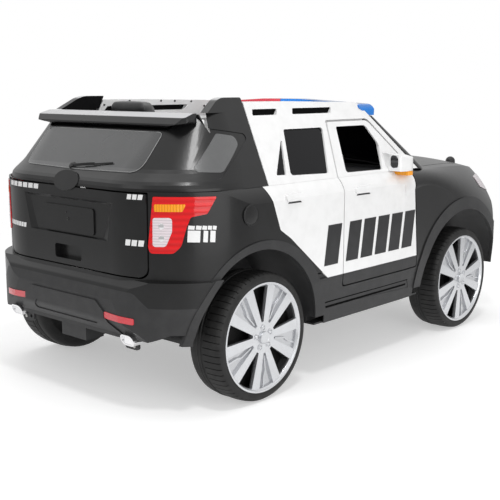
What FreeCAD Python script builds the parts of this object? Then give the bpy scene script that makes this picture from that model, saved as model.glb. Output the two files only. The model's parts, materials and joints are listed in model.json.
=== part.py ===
import FreeCAD, Part
import math
import os

# Child's ride-on electric car in patrol livery, millimetres.
# +X runs to the nose, +Y to the car's left, +Z up; the origin is on the floor, mid length.

V = FreeCAD.Vector

# ---------------------------------------------------------------- driving dimensions
WHEELBASE = 810.0
REAR_OVERHANG = 256.0      # rear axle to the rear bumper's face
FRONT_OVERHANG = 256.0     # front axle to the push bar's front
WHEEL_R = 138.0
TYRE_W = 90.0
RIM_R = 117.0              # radius where the rim meets the tyre
BODY_HALF = 352.0          # centre plane to the body side
TYRE_INSET = 5.0           # body side to a wheel's outer face
SILL_Z = 130.0             # underside of the sills and the floor pan
SEAM_Z = 204.0             # sill's upper edge
CLAD_TOP_Z = 235.0         # lower edge of the white panels
BELT_Z = 452.0             # seam between the lower body and the upper shell
CABIN_H = 148.0            # belt to the rear deck and the header
RAIL_RISE = 26.0           # roof rails above the deck
BELT_STEP = 19.0           # body side to the upper shell at the belt
ROOF_LEAN = 81.0           # the upper shell's side leans in by this up to the deck
WALL = 4.0                 # moulded body panels
TUB_WALL = 4.0
PILLAR_T = 12.0            # window frames and pillars
RAIL_T = 20.0              # roof rails
GLASS_T = 3.0
PANEL_GAP = 3.0            # shut line round doors, tailgate and bonnet
AXLE_R = 6.0
RUN_FIT = 0.05             # radial clearance of a turning fit
MOVE_GAP = 5.0             # least air between parts that move past each other
DOOR_L = 315.0             # front edge of a door to its rear shut line
SEAT_RISE = 132.0          # seat top above the underside of the floor
SEAT_HALF = 165.0
SEAT_T = 38.0
HEAD_HALF = 61.0
STEER_WHEEL_R = 82.0
COLUMN_TILT = 35.0         # degrees above level
STEER_ARM = 60.0
HINGE_PIN_R = 2.5
TAIL_CORNER_R = 205.0      # round rear corners in plan
TAILGATE_HALF = 231.0
RAIL_STEP = 7.0            # white rails lie this far under their black ends
LIGHT_BAR_HALF = 255.0

# ---------------------------------------------------------------- derived stations
TRACK_HALF = BODY_HALF - TYRE_INSET    # centre plane to a wheel's outer face
KINGPIN_Y = TRACK_HALF - TYRE_W - 25.0
BELT_HALF = BODY_HALF - BELT_STEP
ROOF_HALF = BELT_HALF - ROOF_LEAN
ROOF_Z = BELT_Z + CABIN_H
RAIL_TOP_Z = ROOF_Z + RAIL_RISE
DOOR_TOP_Z = ROOF_Z - 28.0
WINDOW_TOP_Z = DOOR_TOP_Z - 11.0
SEAT_TOP_Z = SILL_Z + SEAT_RISE
DECK_Z = WHEEL_R + 78.0                # underside of the raised floor over the axles

X_REAR = -(REAR_OVERHANG + WHEELBASE + FRONT_OVERHANG) / 2
X_RA = X_REAR + REAR_OVERHANG
X_FA = X_RA + WHEELBASE
X_NOSE = X_FA + FRONT_OVERHANG
X_TAIL = X_REAR + 21.0                 # tailgate's outer face
X_BUMPER = X_NOSE - 8.0                # front bumper's face
X_FACE = X_NOSE - 34.0                 # grille's face above the bumper
X_FENDER = X_FA - 231.0                # foot of the seam between door and front wing
DOOR_LEAN = 24.0                       # the seam leans back by this at the belt
X_SEAM = X_FENDER - DOOR_LEAN          # the seam at the belt
X_B = X_FENDER - DOOR_L                # rear shut line of the front door
SCREEN_FOOT_X = X_FA - 229.0           # windscreen's foot at the pillars
SCREEN_FOOT_Z = BELT_Z + 13.0
SCREEN_RUN = 108.0                     # how far the screen leans back
SCREEN_RISE = 125.0
BUMPER_TOP_Z = 276.0
FAR = 900.0                            # past every face of the car

# Wheel arches, all from the wheel's centre: offset along X, offset up and gap to the
# tyre of the opening, then the same of the trim's outer edge
ARCH_COLUMNS = ("dx", "dz", "gap", "trim_dx", "trim_dz", "trim_gap", "drawn_in")
# Where the body's corner turns in, the rear half of an arch is drawn in: (angle, share)
DRAWN_IN = ((108.0, 0.981), (117.0, 0.950), (126.0, 0.906), (136.0, 0.864), (148.0, 0.838),
            (160.0, 0.828), (170.0, 0.830), (180.0, 0.836))
REAR_ARCH = dict(zip(ARCH_COLUMNS, (-20.0, 2.0, 49.0, -13.0, -8.0, 77.0, DRAWN_IN)))
FRONT_ARCH = dict(zip(ARCH_COLUMNS, (-1.0, -22.0, 74.0, -1.0, -18.0, 104.0, ())))
ARCHES = ((X_RA, REAR_ARCH), (X_FA, FRONT_ARCH))
ARCH_PROUD = 3.0                       # arch trims stand out by this
SKID_PROUD = 3.0                       # and the skid panel under the tail
STRIP_HALF = TRACK_HALF - TYRE_W - 71.0   # half width of the floor between steered wheels

# Cabin floor: X of its ends between the wheels and beside them
FLOOR_X0 = X_RA + 143.0
FLOOR_X1 = X_FA - 180.0
FLOOR_SIDE_X0 = X_RA + REAR_ARCH["dx"] + WHEEL_R + REAR_ARCH["gap"] + 6.0
FLOOR_SIDE_X1 = X_FA + FRONT_ARCH["dx"] - WHEEL_R - FRONT_ARCH["gap"] - 4.0
FLOOR_HALF = BODY_HALF - WALL - 32.0   # outer face of the cabin's side walls

# Door hinges: upright axis just inside the door skin
HINGE_X = X_SEAM - 8.0
HINGE_Y = BODY_HALF - 12.0


# ---------------------------------------------------------------- shape helpers
def at(plane, u, v, w):
    """Point (u, v) of a plane that lies at the distance w from the origin."""
    if plane == "xz":
        return V(u, w, v)
    if plane == "xy":
        return V(u, v, w)
    return V(w, u, v)


def outline(corners, plane, w):
    """Closed wire through (u, v, radius) corners, each rounded by a tangent arc."""
    count = len(corners)
    ends = []
    for i in range(count):
        u0, v0 = corners[i - 1][:2]
        u1, v1, radius = corners[i]
        u2, v2 = corners[(i + 1) % count][:2]
        len_in = math.hypot(u0 - u1, v0 - v1)
        len_out = math.hypot(u2 - u1, v2 - v1)
        d_in = ((u0 - u1) / len_in, (v0 - v1) / len_in)
        d_out = ((u2 - u1) / len_out, (v2 - v1) / len_out)
        cosine = max(-1.0, min(1.0, d_in[0] * d_out[0] + d_in[1] * d_out[1]))
        half = math.acos(cosine) / 2
        reach = min(radius / math.tan(half), 0.49 * len_in, 0.49 * len_out)
        used = reach * math.tan(half)
        start = (u1 + d_in[0] * reach, v1 + d_in[1] * reach)
        finish = (u1 + d_out[0] * reach, v1 + d_out[1] * reach)
        bis = (d_in[0] + d_out[0], d_in[1] + d_out[1])
        size = math.hypot(*bis)
        middle = None
        if used > 0.01 and size > 1e-6:
            far = used / math.sin(half) - used
            middle = (u1 + bis[0] / size * far, v1 + bis[1] / size * far)
        ends.append((start, middle, finish))
    edges = []
    for i in range(count):
        start, middle, finish = ends[i]
        if middle:
            arc = Part.Arc(at(plane, *start, w), at(plane, *middle, w), at(plane, *finish, w))
            edges.append(arc.toShape())
        next_start = ends[(i + 1) % count][0]
        a = at(plane, *finish, w)
        b = at(plane, *next_start, w)
        if a.distanceToPoint(b) > 1e-4:
            edges.append(Part.LineSegment(a, b).toShape())
    return Part.Wire(edges)


def prism(corners, plane, lo, hi):
    """Solid between lo and hi, on the outline's own normal."""
    full = [(c[0], c[1], c[2] if len(c) > 2 else 0.0) for c in corners]
    face = Part.Face(outline(full, plane, lo))
    return face.extrude(at(plane, 0, 0, hi - lo))


def box(x0, x1, y0, y1, z0, z1):
    return Part.makeBox(x1 - x0, y1 - y0, z1 - z0, V(x0, y0, z0))


def rod(start, end, radius):
    axis = end - start
    return Part.makeCylinder(radius, axis.Length, start, axis)


def flip(shape):
    """The same shape on the other side of the centre plane."""
    return shape.mirror(V(0, 0, 0), V(0, 1, 0))


def fuse(shapes):
    first = shapes[0]
    if len(shapes) > 1:
        first = first.multiFuse(shapes[1:])
    return first.removeSplitter()


def save(node, shapes):
    """One STEP file; solids that don't touch stay apart in it."""
    if not isinstance(shapes, list):
        shapes = [shapes]
    solids = []
    for shape in shapes:
        solids.extend(shape.Solids)
    shape = solids[0] if len(solids) == 1 else Part.makeCompound(solids)
    shape.exportStep("parts/" + node + ".step")
    print(node, len(solids), "solids", round(sum(s.Volume for s in solids) / 1000), "cm3",
          "valid" if shape.isValid() else "NOT VALID")


def on_both_sides(make):
    """The left shape of make(side) and its right twin as two separate shapes."""
    left = make(1)
    return [left, flip(left)]


def outset(corners, grow):
    """Corners of an outline moved away from its middle by grow along each axis."""
    mid_u = sum(c[0] for c in corners) / len(corners)
    mid_v = sum(c[1] for c in corners) / len(corners)
    moved = []
    for c in corners:
        u = c[0] + math.copysign(grow, c[0] - mid_u)
        v = c[1] + math.copysign(grow, c[1] - mid_v)
        moved.append((u, v, c[2] if len(c) > 2 else 0.0))
    return moved


def corner_prism(corners, far_lo, side):
    """Prism that runs out of a rear corner at 45 degrees; corners are (along, z, radius)."""
    shape = prism(corners, "xz", -FAR, -far_lo)
    shape.rotate(V(0, 0, 0), V(0, 0, 1), -45.0)
    return flip(shape) if side > 0 else shape


# ---------------------------------------------------------------- body forms
def side_half(z):
    """Half width of the upper shell's outer face at the height z."""
    return BELT_HALF - (z - BELT_Z) * ROOF_LEAN / CABIN_H


def screen_x(z):
    """X of the windscreen's edge at the height z."""
    return SCREEN_FOOT_X - (z - SCREEN_FOOT_Z) * SCREEN_RUN / SCREEN_RISE


SLOPE_FOOT = (X_TAIL + 29.0, BELT_Z + 31.0)   # foot of the rear window's slope
SLOPE_HEAD = (X_TAIL + 98.0, ROOF_Z - 40.0)


def slope_x(z):
    """X of the rear window's plane at the height z."""
    run = (SLOPE_HEAD[0] - SLOPE_FOOT[0]) / (SLOPE_HEAD[1] - SLOPE_FOOT[1])
    return SLOPE_FOOT[0] + (z - SLOPE_FOOT[1]) * run


def lower_section(x, narrow, z_side, y_top, z_top, z_crown, bulge, inset, low):
    """Closed section across X: sides, rounded shoulders and a crowned top."""
    tuck = 8.0                          # the sill stands this far inside the side
    h = BODY_HALF - narrow - inset
    yt = BODY_HALF - y_top - 0.7 * inset
    zt = BELT_Z + z_top - 0.7 * inset
    zs = BELT_Z - z_side
    zc = BELT_Z + z_crown - inset
    chord = math.hypot(h - yt, zt - zs)
    out = bulge * chord
    mid_y = (h + yt) / 2 + out * (zt - zs) / chord
    mid_z = (zs + zt) / 2 + out * (h - yt) / chord
    z_full = CLAD_TOP_Z - 5.0

    def p(y, z):
        return V(x, y, z)

    edges = [
        Part.LineSegment(p(-(h - tuck), low), p(-h, z_full)).toShape(),
        Part.LineSegment(p(-h, z_full), p(-h, zs)).toShape(),
        Part.Arc(p(-h, zs), p(-mid_y, mid_z), p(-yt, zt)).toShape(),
        Part.Arc(p(-yt, zt), p(0, zc), p(yt, zt)).toShape(),
        Part.Arc(p(yt, zt), p(mid_y, mid_z), p(h, zs)).toShape(),
        Part.LineSegment(p(h, zs), p(h, z_full)).toShape(),
        Part.LineSegment(p(h, z_full), p(h - tuck, low)).toShape(),
        Part.LineSegment(p(h - tuck, low), p(-(h - tuck), low)).toShape(),
    ]
    return Part.Wire(edges)


# Sections of the lower body, from the side inwards and from the belt: offset from the
# front axle, narrowing of the side, belt to the shoulder's foot, side to the bonnet's
# edge, height of that edge, height of the crown, roundness of the shoulder
SECTIONS = [
    (-300.0, 0.0, 67.0, 25.0, 4.0, 21.0, 0.16),
    (-20.0, 0.0, 105.0, 52.0, -11.0, 13.0, 0.16),
    (185.0, 12.0, 205.0, 100.0, -27.0, -4.0, 0.11),
    (262.0, 26.0, 215.0, 130.0, -40.0, -14.0, 0.10),
]


def mid_form(inset, low):
    """Rear and middle of the lower body, one section all along, with round rear corners."""
    x0 = X_TAIL + inset
    edge = BODY_HALF - inset
    corner = TAIL_CORNER_R - inset
    wire = lower_section(X_REAR, *SECTIONS[0][1:], inset, low)
    bar = Part.Face(wire).extrude(V(X_FA + SECTIONS[0][0] - X_REAR, 0, 0))
    plan = prism([(x0, -edge, corner), (X_FA, -edge), (X_FA, edge), (x0, edge, corner)],
                 "xy", low - 10.0, FAR)
    return bar.common(plan)


def front_form(inset, low):
    """Front end: a loft of few sections, cut to the nose's plan and side view."""
    wires = []
    for section in SECTIONS:
        wires.append(lower_section(X_FA + section[0], *section[1:], inset, low))
    loft = Part.makeLoft(wires, True, False)
    x1 = X_BUMPER - inset
    face = X_FACE - inset
    edge = BODY_HALF + 2.0 - inset
    corner = 125.0 - inset
    plan = prism([(X_B, -edge), (x1, -edge, corner), (x1, edge, corner), (X_B, edge)],
                 "xy", low - 10.0, FAR)
    shelf = BUMPER_TOP_Z - inset
    side = prism([(X_B, low - 10.0), (x1 - 30.0, low - 10.0), (x1, SILL_Z + 65.0, 40.0),
                  (x1, shelf - 12.0, 14.0), (face, shelf + 4.0, 8.0),
                  (face - 22.0, BELT_Z - 26.0 - inset, 26.0), (face - 60.0, BELT_Z + 40.0 - inset),
                  (X_B, BELT_Z + 40.0 - inset)], "xz", -FAR, FAR)
    return loft.common(plan).common(side)


def bulge_form(inset, low):
    """Rear bumper's swell behind the tailgate's face."""
    x0 = X_REAR + SKID_PROUD + inset
    edge = BODY_HALF - inset
    corner = TAIL_CORNER_R - 5.0 - inset
    x1 = X_RA - 60.0
    plan = prism([(x0, -edge, corner), (X_FA, -edge), (X_FA, edge), (x0, edge, corner)],
                 "xy", low - 10.0, FAR)
    top = BUMPER_TOP_Z - inset
    side = prism([(x0 + 22.0, low), (x0 + 22.0, SILL_Z + 26.0, 6.0), (x0 + 2.0, SILL_Z + 58.0, 20.0),
                  (x0, top - 41.0, 20.0), (x0 + 8.0, top - 14.0, 8.0), (X_TAIL + 6.0, top),
                  (x1, top), (x1, low)], "xz", -FAR, FAR)
    return plan.common(side)


OPEN_Z = SILL_Z - 25.0                  # inner forms reach below the sills, so shells are open


def body_form(inset):
    """The whole lower body as a solid, its faces moved in by inset."""
    low = SILL_Z if inset <= 0 else OPEN_Z
    tail_low = SILL_Z + 20.0 if inset <= 0 else OPEN_Z
    return mid_form(inset, low).fuse([front_form(inset, low), bulge_form(inset, tail_low)])


def tail_layer(outer, inner):
    """Skin of the rear end between two insets."""
    shapes = []
    for inset in (outer, inner):
        shapes.append(mid_form(inset, SILL_Z).fuse(bulge_form(inset, SILL_Z)))
    return shapes[0].cut(shapes[1])


def front_layer(outer, inner):
    return front_form(outer, SILL_Z).cut(front_form(inner, OPEN_Z))


def arch_prism(x, z, r, drawn_in, y0, y1):
    """Wheel opening about (x, z), open downwards; its rear half may be drawn in."""
    low = z - 2 * r
    slant = r / math.sqrt(2.0)

    def p(u, v):
        return V(u, y0, v)

    edges = [Part.LineSegment(p(x + r, low), p(x + r, z)).toShape(),
             Part.Arc(p(x + r, z), p(x + slant, z + slant), p(x, z + r)).toShape()]
    if drawn_in:
        points = [p(x, z + r)]
        for angle, share in drawn_in:
            turn = math.radians(angle)
            points.append(p(x + r * share * math.cos(turn), z + r * share * math.sin(turn)))
        curve = Part.BSplineCurve()
        curve.interpolate(points, InitialTangent=V(-1, 0, 0), FinalTangent=V(0, 0, -1))
        edges.append(curve.toShape())
        back = points[-1].x
    else:
        edges.append(Part.Arc(p(x, z + r), p(x - slant, z + slant), p(x - r, z)).toShape())
        back = x - r
    edges.append(Part.LineSegment(p(back, z), p(back, low)).toShape())
    edges.append(Part.LineSegment(p(back, low), p(x + r, low)).toShape())
    return Part.Face(Part.Wire(edges)).extrude(V(0, y1 - y0, 0))


def arch_drum(axle_x, arch, grow, y0, y1):
    """Wheel opening from y0 to y1, its radius grown."""
    return arch_prism(axle_x + arch["dx"], WHEEL_R + arch["dz"], WHEEL_R + arch["gap"] + grow,
                      arch["drawn_in"], y0, y1)


def arch_disc(axle_x, arch, y0, y1):
    """Outline of the arch trim's outer edge from y0 to y1."""
    return arch_prism(axle_x + arch["trim_dx"], WHEEL_R + arch["trim_dz"],
                      WHEEL_R + arch["trim_gap"], arch["drawn_in"], y0, y1)


# Black-to-white boundary of the rear quarter, as offsets from the rear axle
QUARTER_SEAM = ((7.0, BELT_Z), (43.0, BELT_Z - 92.0), (75.0, BELT_Z - 112.0))


def quarter_region():
    """Everything behind the rear quarter's seam."""
    back = X_REAR - 50.0
    front = X_RA + 205.0
    (top_dx, top_z), (mid_dx, mid_z), (low_dx, low_z) = QUARTER_SEAM
    return prism([(back, 0.0), (front, 0.0), (front, CLAD_TOP_Z), (X_RA + low_dx, low_z, 30.0),
                  (X_RA + mid_dx, mid_z, 10.0), (X_RA + top_dx, top_z),
                  (X_RA + top_dx, top_z + 60.0), (back, top_z + 60.0)], "xz", -FAR, FAR)


def wing_region():
    """Everything ahead of the seam between door and front wing."""
    front = X_NOSE + 50.0
    return prism([(X_FENDER, 0.0), (front, 0.0), (front, FAR), (X_SEAM, FAR),
                  (X_SEAM, BELT_Z), (X_FENDER, SEAM_Z)], "xz", -FAR, FAR)


def door_region(grow, y0, y1):
    """Outline of a front door; grow opens it up by the shut line's gap."""
    g = grow
    lean = SCREEN_RUN / SCREEN_RISE
    sail_z = BELT_Z + 10.0
    front_gap = PANEL_GAP + 1.0
    pillar = 28.0                       # windscreen's edge to the door frame
    pts = [(X_B - g, SEAM_Z + PANEL_GAP - g, 8.0),
           (X_FENDER - front_gap + g, SEAM_Z + PANEL_GAP - g, 8.0),
           (X_SEAM - front_gap + g, BELT_Z), (screen_x(sail_z) - pillar + g, sail_z, 6.0),
           (screen_x(DOOR_TOP_Z) - pillar + g * lean, DOOR_TOP_Z + g, 25.0),
           (X_B + 40.0 - g, DOOR_TOP_Z + g, 8.0), (X_B - g, BELT_Z, 10.0)]
    return prism(pts, "xz", y0, y1)


def side_space(side):
    """Half space of one side of the car."""
    if side > 0:
        return box(-FAR, FAR, 20.0, FAR, -10.0, FAR)
    return box(-FAR, FAR, -FAR, -20.0, -10.0, FAR)


def cabin_prism(inset, low, high):
    """Solid between the upper shell's leaning sides, moved in by inset."""
    a = side_half(low) - inset
    b = side_half(high) - inset
    return prism([(-a, low), (a, low), (b, high), (-b, high)], "yz", X_REAR, X_FA)


SIDES = (("left", 1), ("right", -1))


# ---------------------------------------------------------------- wheels and running gear
def spin(profile_points, centre, outward):
    """Ring turned about the wheel's axis from (depth, radius) corners; depth runs inwards."""
    face = Part.Face(outline(profile_points, "xz", 0.0))
    solid = face.revolve(V(0, 0, 0), V(1, 0, 0), 360.0)
    turn = FreeCAD.Rotation(V(1, 0, 0), V(0, -outward, 0))
    solid.Placement = FreeCAD.Placement(centre, turn)
    return solid


HUB_R = 22.0
WEB_DEPTH = 38.0
WEB_T = 6.0
CAP_DEPTH = 16.0
DISH_R = RIM_R - 6.0


def tyre(centre, outward):
    """Moulded wheel body: tread ring, web and hub tube in one."""
    w = TYRE_W
    bore = AXLE_R + RUN_FIT
    cap = CAP_DEPTH + 2.0
    web = WEB_DEPTH + WEB_T
    ring = [(0.0, RIM_R, 1.0), (0.0, WHEEL_R - 7.0, 4.0), (5.0, WHEEL_R, 5.0),
            (w - 5.0, WHEEL_R, 5.0), (w, WHEEL_R - 7.0, 4.0), (w, RIM_R, 1.0),
            (w, DISH_R, 1.0), (web, DISH_R, 2.0), (web, HUB_R, 2.0), (w - 4.0, HUB_R, 1.0),
            (w - 4.0, bore, 0.0), (cap, bore, 0.0), (cap, HUB_R, 1.0), (WEB_DEPTH, HUB_R, 2.0),
            (WEB_DEPTH, DISH_R, 2.0), (31.0, RIM_R, 1.0)]
    return spin(ring, centre, outward)


SPOKE_PAIRS = 5
SPOKE_SPREAD = 18.0                    # degrees from a pair's middle to each spoke
SPOKE_ROOT = 20.0                      # spokes start at this radius


def rim(centre, outward, first_pair):
    """Clip-in wheel trim: lip ring, hub disc and paired flat spokes with a web in each pair."""
    lip_r = RIM_R - 8.0
    lip = spin([(1.0, RIM_R, 0.0), (1.0, RIM_R - 4.0, 1.0), (6.0, lip_r, 2.0),
                (30.0, lip_r, 1.0), (30.0, RIM_R, 0.0)], centre, outward)
    inward = V(0, -outward, 0)
    hub = Part.makeCylinder(34.0, CAP_DEPTH - 4.0, centre + inward * 4.0, inward)
    bars = [lip, hub]
    spoke_end = RIM_R - 5.0
    spread = math.tan(math.radians(SPOKE_SPREAD))
    spoke = [(SPOKE_ROOT, -7.0), (spoke_end, -12.0), (spoke_end, 12.0), (SPOKE_ROOT, 7.0)]
    web_in, web_out = 26.0, spoke_end - 6.0
    web = [(web_in, -web_in * spread), (web_out, -web_out * spread), (spoke_end, 0.0),
           (web_out, web_out * spread), (web_in, web_in * spread)]
    for i in range(SPOKE_PAIRS):
        middle = first_pair + 360.0 * i / SPOKE_PAIRS
        for pts, angle, depth, back in ((spoke, middle - SPOKE_SPREAD, 4.0, 13.0),
                                        (spoke, middle + SPOKE_SPREAD, 4.0, 13.0),
                                        (web, middle, 10.0, 13.0)):
            bar = prism(pts, "xz", depth, back)
            bar.rotate(V(0, 0, 0), V(0, 1, 0), -angle)
            if outward > 0:
                bar = flip(bar)
            bar.translate(centre)
            bars.append(bar)
    return fuse(bars)


WHEELS = [
    # name, axle x, side, angle of the first pair of spokes
    ("rear_left", X_RA, 1, 59.0),
    ("rear_right", X_RA, -1, 59.0),
    ("front_left", X_FA, 1, 68.0),
    ("front_right", X_FA, -1, 68.0),
]


def make_wheels():
    for name, x, side, first_pair in WHEELS:
        centre = V(x, side * TRACK_HALF, WHEEL_R)
        save("tyre_" + name, tyre(centre, side))
        save("rim_" + name, rim(centre, side, first_pair))


AXLE_END = TRACK_HALF - CAP_DEPTH - 3.0   # half length of an axle
INNER_FACE = TRACK_HALF - TYRE_W       # centre plane to a wheel's inner face
BEAM_Z = WHEEL_R + 40.0                # front beam's middle height
BEAM_H = 24.0
KINGPIN_BOSS = 18.0                    # half height of the beam's bosses
ARM_Z = BEAM_Z + KINGPIN_BOSS + 2.0    # underside of the steering arms
PEG_R = 4.0


def make_rear_axle():
    save("rear_axle", rod(V(X_RA, -AXLE_END, WHEEL_R), V(X_RA, AXLE_END, WHEEL_R), AXLE_R))

    def gearbox(_):
        face = INNER_FACE - MOVE_GAP
        z = WHEEL_R
        case = prism([(X_RA - 38.0, z - 36.0, 18.0), (X_RA + 38.0, z - 36.0, 18.0),
                      (X_RA + 30.0, z + 36.0, 14.0), (X_RA - 30.0, z + 36.0, 14.0)],
                     "xz", face - 46.0, face)
        motor = rod(V(X_RA - 62.0, face - 100.0, z + 4.0), V(X_RA - 62.0, face - 20.0, z + 4.0), 22.0)
        bridge = box(X_RA - 66.0, X_RA, face - 40.0, face - 8.0, z - 18.0, z + 22.0)
        inner = STRIP_HALF - 2.0
        foot = box(X_RA - 20.0, X_RA + 20.0, inner - 30.0, inner, z + 20.0, DECK_Z)
        tie = box(X_RA - 20.0, X_RA + 20.0, inner - 30.0, face - 10.0, z + 14.0, z + 32.0)
        part = fuse([case, motor, bridge, foot, tie])
        return part.cut(rod(V(X_RA, 0, z), V(X_RA, FAR, z), AXLE_R))

    save("motor_gearboxes", on_both_sides(gearbox))


def make_front_axle():
    bar = box(X_FA - 14.0, X_FA + 14.0, -KINGPIN_Y, KINGPIN_Y, BEAM_Z - BEAM_H / 2,
              BEAM_Z + BEAM_H / 2)
    parts = [bar]
    bores = []
    for side in (1, -1):
        y = side * KINGPIN_Y
        parts.append(rod(V(X_FA, y, BEAM_Z - KINGPIN_BOSS), V(X_FA, y, BEAM_Z + KINGPIN_BOSS), 14.0))
        post = side * STRIP_HALF * 0.65
        parts.append(box(X_FA - 25.0, X_FA + 25.0, post - 20.0, post + 20.0, BEAM_Z, DECK_Z))
        bores.append(rod(V(X_FA, y, BEAM_Z - 30.0), V(X_FA, y, BEAM_Z + 30.0), AXLE_R + RUN_FIT))
    save("front_beam", fuse(parts).cut(bores[0]).cut(bores[1]))

    for name, side in SIDES:
        y = side * KINGPIN_Y
        pin = rod(V(X_FA, y, WHEEL_R - 10.0), V(X_FA, y, ARM_Z + 8.0), AXLE_R)
        block = rod(V(X_FA, y, WHEEL_R - 14.0), V(X_FA, y, BEAM_Z - KINGPIN_BOSS - 1.0), 13.0)
        stub = rod(V(X_FA, y, WHEEL_R), V(X_FA, side * AXLE_END, WHEEL_R), AXLE_R)
        collar = rod(V(X_FA, y, WHEEL_R), V(X_FA, side * (INNER_FACE + 2.0), WHEEL_R), 10.0)
        arm = box(X_FA - STEER_ARM - 8.0, X_FA + 9.0, y - 9.0, y + 9.0, ARM_Z, ARM_Z + 5.0)
        peg = rod(V(X_FA - STEER_ARM, y, ARM_Z), V(X_FA - STEER_ARM, y, ARM_Z + 15.0), PEG_R)
        save("knuckle_" + name, fuse([pin, block, stub, collar, arm, peg]))

    rod_z = ARM_Z + 6.0
    x = X_FA - STEER_ARM
    bar = box(x - 8.0, x + 8.0, -KINGPIN_Y - 10.0, KINGPIN_Y + 10.0, rod_z, rod_z + 5.0)
    for side, slack in ((1, RUN_FIT), (-1, 0.6)):
        y = side * KINGPIN_Y
        bar = bar.cut(rod(V(x, y, rod_z - 5.0), V(x, y, rod_z + 20.0), PEG_R + slack))
    save("tie_rod", bar)


# ---------------------------------------------------------------- lower body
# Tail lamp outlines on the rear corner: distance along the corner from its middle,
# height above the belt, corner radius
LAMP_OUTLINE = [(-60.0, -8.5, 3.0), (64.0, -8.5, 2.0), (45.0, -42.0, 4.0), (13.0, -47.5, 8.0),
                (4.0, -70.0, 30.0), (-6.0, -105.0, 24.0), (-21.0, -119.0, 14.0),
                (-68.0, -120.0, 10.0), (-71.0, -106.0, 12.0)]
LAMP_AMBER = [(-58.0, -23.0, 3.0), (4.0, -22.5, 2.0), (-3.0, -37.0, 3.0), (-58.0, -37.5, 3.0)]
LAMP_CLEAR = [(-61.0, -49.5, 5.0), (-23.0, -48.5, 7.0), (-23.5, -76.0, 10.0),
              (-36.0, -106.0, 10.0), (-62.0, -106.5, 6.0)]
LAMP_T = 8.0


def lamp_prism(corners, side):
    middle = (X_TAIL + BODY_HALF) / math.sqrt(2.0)
    moved = [(middle + along, BELT_Z + up, radius) for along, up, radius in corners]
    return corner_prism(moved, 0.8 * (BODY_HALF - X_TAIL) / math.sqrt(2.0), side)


def make_tail_lamps():
    """Red body, amber strip and clear block of each lamp; returns what the panels lose."""
    zones = [lamp_prism(LAMP_OUTLINE, side) for side in (1, -1)]
    ambers = [lamp_prism(LAMP_AMBER, side) for side in (1, -1)]
    clears = [lamp_prism(LAMP_CLEAR, side) for side in (1, -1)]
    gate = tailgate_region(PANEL_GAP)
    skin = tail_layer(-2.0, LAMP_T).cut(gate)
    save("tail_lamps", [skin.common(zones[i]).cut(ambers[i]).cut(clears[i]) for i in (0, 1)])
    skin = tail_layer(-2.5, LAMP_T).cut(gate)
    save("tail_lamp_ambers", [skin.common(amber) for amber in ambers])
    save("tail_lamp_clears", [skin.common(clear) for clear in clears])
    return zones


GATE_LOW_Z = BUMPER_TOP_Z + 6.0
GATE_HIGH_Z = BELT_Z - 4.0


def tailgate_region(grow):
    half = TAILGATE_HALF + grow
    low = GATE_LOW_Z - grow
    high = GATE_HIGH_Z + grow
    return prism([(-half, low, 20.0), (half, low, 20.0), (half, high, 3.0), (-half, high, 3.0)],
                 "yz", X_REAR - 10.0, X_TAIL + 60.0)


def badge(grow):
    """Plain oval disc across the seam of the tailgate and the rear window's foot."""
    oval = Part.Ellipse(V(0, 0, 0), 41.0 + grow, 22.0 + grow).toShape()
    disc = Part.Face(Part.Wire([oval])).extrude(V(0, 0, 13.0))
    tilt = math.radians(20.0)
    out = V(-math.cos(tilt), 0, math.sin(tilt))
    turn = FreeCAD.Rotation(V(0, 1, 0), V(-math.sin(tilt), 0, -math.cos(tilt)), out, "ZXY")
    disc.Placement = FreeCAD.Placement(V(X_TAIL + 4.0, 0, BELT_Z + 8.0) - out * 9.0, turn)
    return disc


PLATE_T = 3.0
RECESS_DEPTH = 6.0
PLATE = [(-85.0, BELT_Z - 100.0, 7.0), (85.0, BELT_Z - 100.0, 7.0), (85.0, BELT_Z - 45.0, 7.0),
         (-85.0, BELT_Z - 45.0, 7.0)]
RECESS_RIM = [(-131.0, BELT_Z - 105.0), (131.0, BELT_Z - 105.0), (150.0, BELT_Z - 26.0),
              (-150.0, BELT_Z - 26.0)]
RECESS_FLOOR = [(-113.0, BELT_Z - 103.0), (113.0, BELT_Z - 103.0), (138.0, BELT_Z - 32.0),
                (-138.0, BELT_Z - 32.0)]
POCKET = [(-45.0, BELT_Z - 158.0, 6.0), (45.0, BELT_Z - 158.0, 6.0), (45.0, BELT_Z - 128.0, 6.0),
          (-45.0, BELT_Z - 128.0, 6.0)]
POCKET_DEPTH = 16.0


def make_tailgate(painted):
    gate = painted.common(tailgate_region(0.0))
    band_z = BELT_Z - 21.0              # crease under the belt
    band = tail_layer(-2.0, 1.0).common(tailgate_region(0.0))
    band = band.common(box(X_REAR, X_RA, -FAR, FAR, band_z, GATE_HIGH_Z))
    recess_back = prism(outset(RECESS_RIM, 4.0), "yz", X_TAIL, X_TAIL + RECESS_DEPTH + WALL)
    pocket_back = prism(outset(POCKET, 4.0), "yz", X_TAIL, X_TAIL + POCKET_DEPTH + WALL)
    rim = outline([corner + (0.0,) for corner in RECESS_RIM], "yz", X_TAIL - 0.1)
    floor = outline([corner + (0.0,) for corner in RECESS_FLOOR], "yz", X_TAIL + RECESS_DEPTH)
    dish = Part.makeLoft([rim, floor], True, True)
    gate = fuse([gate, band, recess_back, pocket_back]).cut(dish)
    gate = gate.cut(prism(POCKET, "yz", X_TAIL - 1.0, X_TAIL + POCKET_DEPTH))
    save("tailgate", gate.cut(badge(0.0)))
    floor_x = X_TAIL + RECESS_DEPTH
    save("number_plate", prism(PLATE, "yz", floor_x - PLATE_T, floor_x))
    save("badge_disc", badge(0.0))


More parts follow.
